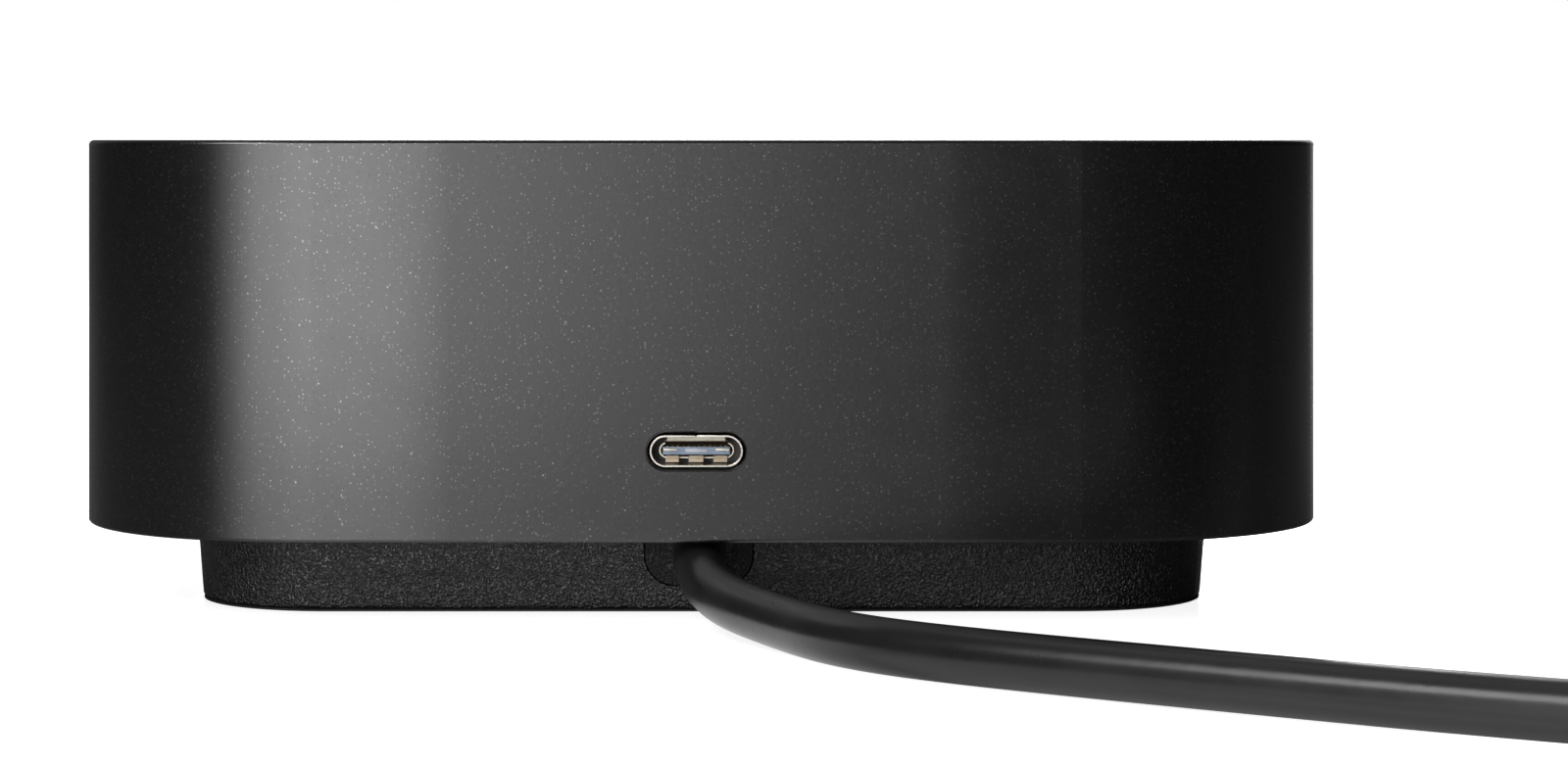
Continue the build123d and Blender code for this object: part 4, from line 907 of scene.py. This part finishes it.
@dataclass
class Cable:
    """The captive cable: out of the plinth, along the table, into a coil and its plug.

    Its places are in millimetres, the route's from the plinth's front and the end's from the
    coil's middle.
    """

    maker: Maker
    diameter: float = 4.85 * MM
    length: float = 0.93
    front: float = -50.4
    route: tuple[Triple, ...] = (
        (0.0, 0.2, 6.1), (0.1, -8.8, 5.1), (2.5, -18.0, 3.4), (8.2, -27.8, 2.55),
        (13.0, -37.4, 2.45), (21.0, -46.0, 2.45), (38.0, -58.4, 2.45),
        (68.0, -78.6, 2.45), (94.0, -96.2, 3.35))
    coil_at: Span = (112.1, -69.7)
    coil_start: float = -124.4
    points_per_turn: int = 15
    legs: tuple[Leg, ...] = (
        Leg(2.5, (32.1, 20.0), (3.325, 3.325)), Leg(0.2, (20.0, 20.0), (3.325, 8.175)),
        Leg(1.55, (20.0, 28.0), (8.175, 8.175)), Leg(0.28, (28.0, 31.08), (8.175, 8.2)))
    end_route: tuple[Triple, ...] = (
        (12.4, 28.5, 8.2), (0.0, 30.3, 9.6), (-12.0, 26.8, 11.6), (-21.4, 18.8, 13.3),
        (-26.5, 7.6, 13.8), (-26.5, -2.4, 13.8))

    def coil(self) -> list[Vector]:
        """Winds the coil.

        Returns:
            The control points of its turns, after the route and before the end's route.
        """
        total = sum(leg.turns for leg in self.legs)
        count = round(total * self.points_per_turn)
        reach = 1.0 / math.cos(math.pi / self.points_per_turn)    # the line runs within its points
        points = []
        for i in range(1, count):
            turned = left = total * i / count
            for leg in self.legs:
                if left <= leg.turns:
                    break
                left -= leg.turns
            share = left / leg.turns
            radius = reach * (leg.radii[0] + share * (leg.radii[1] - leg.radii[0]))
            height = leg.heights[0] + share * (leg.heights[1] - leg.heights[0])
            angle = math.radians(self.coil_start) + 2 * math.pi * turned
            points.append(Vector((radius * math.cos(angle), radius * math.sin(angle), height)))
        return points

    def build(self) -> None:
        ahead = Vector((0.0, self.front, 0.0))
        middle = ahead + Vector((*self.coil_at, 0.0))
        points = [ahead + Vector(p) for p in self.route]
        points += [middle + p for p in self.coil()]
        points += [middle + Vector(p) for p in self.end_route]
        curve = bpy.data.curves.new("cable", "CURVE")
        curve.dimensions = "3D"
        curve.bevel_depth, curve.bevel_resolution, curve.resolution_u = self.diameter / 2, 8, 8
        curve.use_fill_caps = True
        spline = curve.splines.new("NURBS")
        spline.points.add(len(points) - 1)
        for control, point in zip(spline.points, points):
            control.co = (*(point * MM), 1.0)
        spline.order_u = 3
        spline.use_endpoint_u = True
        cable = add_object("cable", curve)
        curve.materials.append(self.maker.finishes.of(Finishes.BY_SLOT["cord_jacket"]))
        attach(cable, DOCK)
        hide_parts("cord", "cord_coil", "cord_end")
        strap = CableStrap(self.maker).build()
        log.info("piece cable: %d control points", len(points))


@dataclass
class CableStrap:
    """The hook-and-loop strap round the coil's turns, its tail pressed down on top."""

    maker: Maker
    thick: float = 0.8 * MM
    clearance: float = 0.06 * MM
    corner: float = 2.2 * MM
    corner_steps: int = 5
    sag: float = 0.35 * MM
    tail: float = 9.0 * MM
    start: float = 0.35                # as shares of its width: where its first end lies
    dip: float = 0.28                  # where the second end passes over it
    rise: float = 0.38                 # and where that end lies on the turn below
    under: float = 1.05                # in thicknesses: how far the turn below lies under its top
    step: float = 0.9                  # and how far the tail's start rises from it
    bevel: float = 0.15

    def build(self) -> bpy.types.Object:
        """Carries the strap's edge round the turns, then gives it its thickness.

        Returns:
            The strap.
        """
        low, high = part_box("cord_tie")
        inset = self.thick / 2 + self.clearance
        low, high = low + Vector((inset, 0, inset)), high - Vector((inset, 0, inset))
        path = self.round_path(low, high)
        mesh = bmesh.new()
        sweep(mesh, [Vector((path[0].x, y, path[0].z)) for y in (low.y, high.y)], path)
        across = [e for e in mesh.edges if abs(e.verts[0].co.y - e.verts[1].co.y) > MM]
        bmesh.ops.subdivide_edges(mesh, edges=across, cuts=3, use_grid_fill=True)
        bmesh.ops.solidify(mesh, geom=mesh.faces[:], thickness=self.thick)
        strap = self.maker.piece("coil_strap", mesh, "tie_fabric", bevel=self.bevel)
        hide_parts("cord_tie")
        return strap

    def round_path(self, low: Vector, high: Vector) -> list[Vector]:
        """The strap's line, seen along Y, from its start on top once round to its tail.

        Args:
            low: Lowest corner of the line.
            high: Highest corner of the line.

        Returns:
            Its points.
        """
        r, width = self.corner, high.x - low.x
        top = high.z - self.thick * self.under
        corners = [(high.x - r, top - r, 90), (high.x - r, low.z + r, 0),
                   (low.x + r, low.z + r, -90), (low.x + r, top - r, -180)]
        line = [Vector((low.x + width * self.start, 0, top - self.sag))]
        for x, z, start in corners:
            for step in range(self.corner_steps + 1):
                angle = math.radians(start - step * 90 / self.corner_steps)
                line.append(Vector((x + r * math.cos(angle), 0, z + r * math.sin(angle))))
        line.append(Vector((low.x + width * self.dip, 0, top - self.sag / 2)))
        line.append(Vector((low.x + width * self.rise, 0, top + self.thick * self.step)))
        line.append(Vector((low.x + width * self.rise + self.tail, 0, top + self.thick)))
        return line


# ---------------------------------------------------------------- front socket and sole


@dataclass(frozen=True)
class SocketSheet:
    """A thin plate across the socket, in millimetres: its section's depths and heights."""

    name: str
    half: float
    section: tuple[Span, ...]
    thick: float
    finish: Finish
    notches: tuple[float, ...] = (-1.18, 1.12)
    notch: float = 0.94


@dataclass(frozen=True)
class TonguePlate:
    """A thin plate on the tongue's end, in millimetres: its sides, heights and depth."""

    name: str
    across: Span
    upright: Span
    near: float
    finish: Finish
    thick: float = 0.3


@dataclass
class FrontSocket:
    """The USB-C socket in the front wall: its shell, spring plates and tongue end.

    Its sizes and places are in millimetres from the middle of its mouth, X to the right, Y into
    the wall and Z up.
    """

    maker: Maker
    at: Vector = field(default_factory=lambda: MOUNTS["usb_c_front"])
    segments: int = 96
    width: float = 8.94
    height: float = 3.2
    sheet: float = 0.2
    depth: float = 8.1
    seam: float = 0.14
    hole: Span = (9.54, 3.8)
    hole_edge: Span = (-0.205, 0.015)
    hole_chamfer: float = 0.16
    core_gap: float = 0.02
    core_depth: float = 2.6
    lip_low: Triple = (-2.68, 0.10, 0.93)
    lip_high: Triple = (2.68, 0.55, 1.45)
    lip_flare: float = 1.035
    ring_size: Span = (7.0, 1.5)
    ring_from: float = 1.2
    ring_depth: float = 1.3
    ring_thick: float = 0.12
    sheets: tuple[SocketSheet, ...] = (
        # the roof sheet is coloured dark brown as painted shade under the lip
        SocketSheet("front_socket_roof", 2.95, ((0.50, 0.97), (0.70, 0.80), (1.1, 0.58), (2.6, 0.50)),
                    0.06, Finishes.BRONZE, notches=()),
        SocketSheet("front_socket_spring", 2.88,
                    ((0.62, -0.46), (0.50, -0.72), (0.38, -0.96), (0.36, -1.04), (0.45, -1.06)),
                    0.1, Finishes.SPRUNG),
        SocketSheet("front_socket_floor", 2.88, ((1.0, -1.14), (0.34, -1.15), (0.20, -1.34)),
                    0.1, Finishes.SPRUNG))
    tongue: tuple[TonguePlate, ...] = (
        TonguePlate("face", (-3.16, 3.16), (-0.37, 0.37), 0.50, Finishes.BLUED),
        TonguePlate("middle", (-1.05, 1.05), (-0.16, 0.20), 0.45, Finishes.PALE),
        TonguePlate("left", (-3.08, -1.78), (0.00, 0.20), 0.45, Finishes.NICKEL),
        TonguePlate("right", (1.78, 3.08), (0.00, 0.20), 0.45, Finishes.NICKEL))

    def build(self) -> None:
        """Makes the socket's pieces."""
        self.build_shell()
        self.build_edge()
        self.build_core()
        self.build_lip()
        for sheet in self.sheets:
            self.build_sheet(sheet)
        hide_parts("usb_c_springs")
        self.build_ring()
        for plate in self.tongue:
            self.build_tongue_plate(plate)

    def add(self, name: str, mesh: bmesh.types.BMesh, slot: str, finish: Finish | None = None,
            bevel: float = 0.0) -> bpy.types.Object:
        """Takes a mesh from the mouth's millimetres to its place, and makes it a piece.

        Args:
            name: The piece's name.
            mesh: Its mesh.
            slot: The record's slot.
            finish: Its finish, or the slot's.
            bevel: Width of a bevel round its sharp edges, in millimetres.

        Returns:
            The object.
        """
        place = Matrix.Translation(self.at) @ Matrix.Scale(MM, 4)
        bmesh.ops.transform(mesh, matrix=place, verts=mesh.verts)
        return self.maker.piece(name, mesh, slot, finish, bevel)

    def slot(self, mesh: bmesh.types.BMesh, size: Span, near: float,
             filled: bool = False) -> list[bmesh.types.BMVert]:
        """Adds the upright outline of a slot with round ends.

        Args:
            mesh: The mesh that it is added to.
            size: Its width and height.
            near: Its depth behind the mouth.
            filled: Whether it is a face.

        Returns:
            Its vertices.
        """
        verts = outline(mesh, size, size[1] / 2, self.segments, filled)
        bmesh.ops.rotate(mesh, verts=verts, matrix=Matrix.Rotation(math.pi / 2, 3, "X"))
        bmesh.ops.translate(mesh, verts=verts, vec=(0.0, near, 0.0))
        return verts

    def tube(self, mesh: bmesh.types.BMesh, size: Span, near: float,
             far: float) -> list[bmesh.types.BMVert]:
        """Adds a slot's wall.

        Args:
            mesh: The mesh that it is added to.
            size: Its width and height.
            near: The depth where it starts.
            far: The depth where it ends.

        Returns:
            The vertices of its far end.
        """
        self.slot(mesh, size, near)
        end = grown(mesh, mesh.edges[:])
        bmesh.ops.translate(mesh, verts=end, vec=(0.0, far - near, 0.0))
        return end

    @staticmethod
    def cut(mesh: bmesh.types.BMesh, middle: float, width: float, above: float = -math.inf) -> None:
        """Cuts an upright gap through sheets.

        Args:
            mesh: Their mesh.
            middle: The gap's middle along X.
            width: Its width.
            above: The height that it is cut down to.
        """
        for side in (-0.5, 0.5):
            bmesh.ops.bisect_plane(mesh, geom=mesh.verts[:] + mesh.edges[:] + mesh.faces[:], dist=1e-4,
                                   plane_co=(middle + side * width, 0.0, 0.0),
                                   plane_no=(1.0, 0.0, 0.0))
        centres = {face: face.calc_center_median() for face in mesh.faces}
        gap = [face for face, centre in centres.items()
               if abs(centre.x - middle) < width / 2 and centre.z > above]
        bmesh.ops.delete(mesh, geom=gap, context="FACES")

    def build_shell(self) -> None:
        """The folded steel shell, its seam along the middle of the top."""
        mesh = bmesh.new()
        self.tube(mesh, (self.width - self.sheet, self.height - self.sheet), 0.0, self.depth)
        self.cut(mesh, 0.0, self.seam, above=0.0)
        thicken(mesh, self.sheet)
        shell = self.add("front_socket_shell", mesh, "port_steel", bevel=0.045)
        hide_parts("usb_c_shell")

    def build_edge(self) -> None:
        """The painted edge of the hole round the shell."""
        mesh = bmesh.new()
        far = self.tube(mesh, self.hole, *self.hole_edge)
        across, upright = (1.0 - 2 * self.hole_chamfer / side for side in self.hole)
        bmesh.ops.scale(mesh, verts=far, vec=(across, 1.0, upright))
        self.add("front_socket_edge", mesh, "housing_paint")

    def build_core(self) -> None:
        """The moulded core behind the tongue."""
        mesh = bmesh.new()
        wall = 2 * (self.sheet + self.core_gap)
        self.slot(mesh, (self.width - wall, self.height - wall), self.core_depth, filled=True)
        self.add("front_socket_core", mesh, "tongue_black", Finishes.CORE)

    def build_lip(self) -> None:
        """The stamped lip under the top of the shell, a little wider at its lower edge."""
        mesh = bmesh.new()
        low, high = Vector(self.lip_low), Vector(self.lip_high)
        edge = [v for v in slab(mesh, low, high) if v.co.z < (low.z + high.z) / 2]
        bmesh.ops.scale(mesh, verts=edge, vec=(self.lip_flare, 1.0, 1.0))
        self.add("front_socket_lip", mesh, "contact_gold", Finishes.STAMPED, bevel=0.05)

    def build_sheet(self, sheet: SocketSheet) -> None:
        """Draws a plate along its section, cuts its notches and gives it its thickness.

        Args:
            sheet: The plate.
        """
        mesh = bmesh.new()
        path = [Vector((0.0, deep, z)) for deep, z in sheet.section]
        across = Vector((sheet.half, 0.0, 0.0))
        sweep(mesh, [path[0] - across, path[0] + across], path)
        for middle in sheet.notches:
            self.cut(mesh, middle, sheet.notch)
        bmesh.ops.solidify(mesh, geom=mesh.faces[:], thickness=sheet.thick)
        self.add(sheet.name, mesh, "contact_gold", sheet.finish, bevel=0.03)

    def build_ring(self) -> None:
        """The sleeve round the tongue, which shows at its two ends."""
        mesh = bmesh.new()
        self.tube(mesh, self.ring_size, self.ring_from, self.ring_from + self.ring_depth)
        thicken(mesh, self.ring_thick)
        self.add("front_socket_ring", mesh, "contact_gold", Finishes.NICKEL)

    def build_tongue_plate(self, plate: TonguePlate) -> None:
        """Makes a plate on the tongue's end.

        Args:
            plate: The plate.
        """
        mesh = bmesh.new()
        depths = (plate.near, plate.near + plate.thick)
        slab(mesh, *(Vector(corner) for corner in zip(plate.across, depths, plate.upright)))
        self.add(f"front_tongue_{plate.name}", mesh, "port_steel", plate.finish, bevel=0.04)


@dataclass
class SoleEdgeAndShadow:
    """The rubber sole's soft edge: a thin dark rubber band between the plinth's foot and the table that
    also stands in for the shadow gap there, a painted shadow.
    """

    maker: Maker
    past: float = 1.3 * MM
    corner: float = 13.8 * MM
    width: float = 2.0 * MM
    height: float = 0.21 * MM
    segments: int = 128
    bevel: float = 0.04

    def build(self) -> None:
        """Makes the edge, a flat band with round corners."""
        mesh = bmesh.new()
        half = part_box("rubber_sole")[1].x + self.past
        outline(mesh, (2 * half, 2 * half), self.corner, self.segments)
        inner = grown(mesh, mesh.edges[:])
        share = 1.0 - self.width / half
        bmesh.ops.scale(mesh, verts=inner, vec=(share, share, 1.0))
        raised = bmesh.ops.extrude_face_region(mesh, geom=mesh.faces[:])["geom"]
        top = [item for item in raised if isinstance(item, bmesh.types.BMVert)]
        bmesh.ops.translate(mesh, verts=top, vec=(0.0, 0.0, self.height))
        # painted shadow: this dark rubber band also stands in for the shadow gap under the plinth's foot
        self.maker.piece("sole_edge_and_shadow", mesh, "sole_rubber", bevel=self.bevel)


# ---------------------------------------------------------------- main


def main() -> None:
    """Builds the studio, the cable, the socket's and the sole's pieces, and every finish."""
    logging.basicConfig(level=logging.INFO, format="%(name)s: %(message)s")
    Shot().make()
    maker = Maker()
    Cable(maker).build()
    FrontSocket(maker).build()
    SoleEdgeAndShadow(maker).build()
    maker.finishes.dress_nodes()
    Studio().make()


if __name__ == "__main__":
    main()
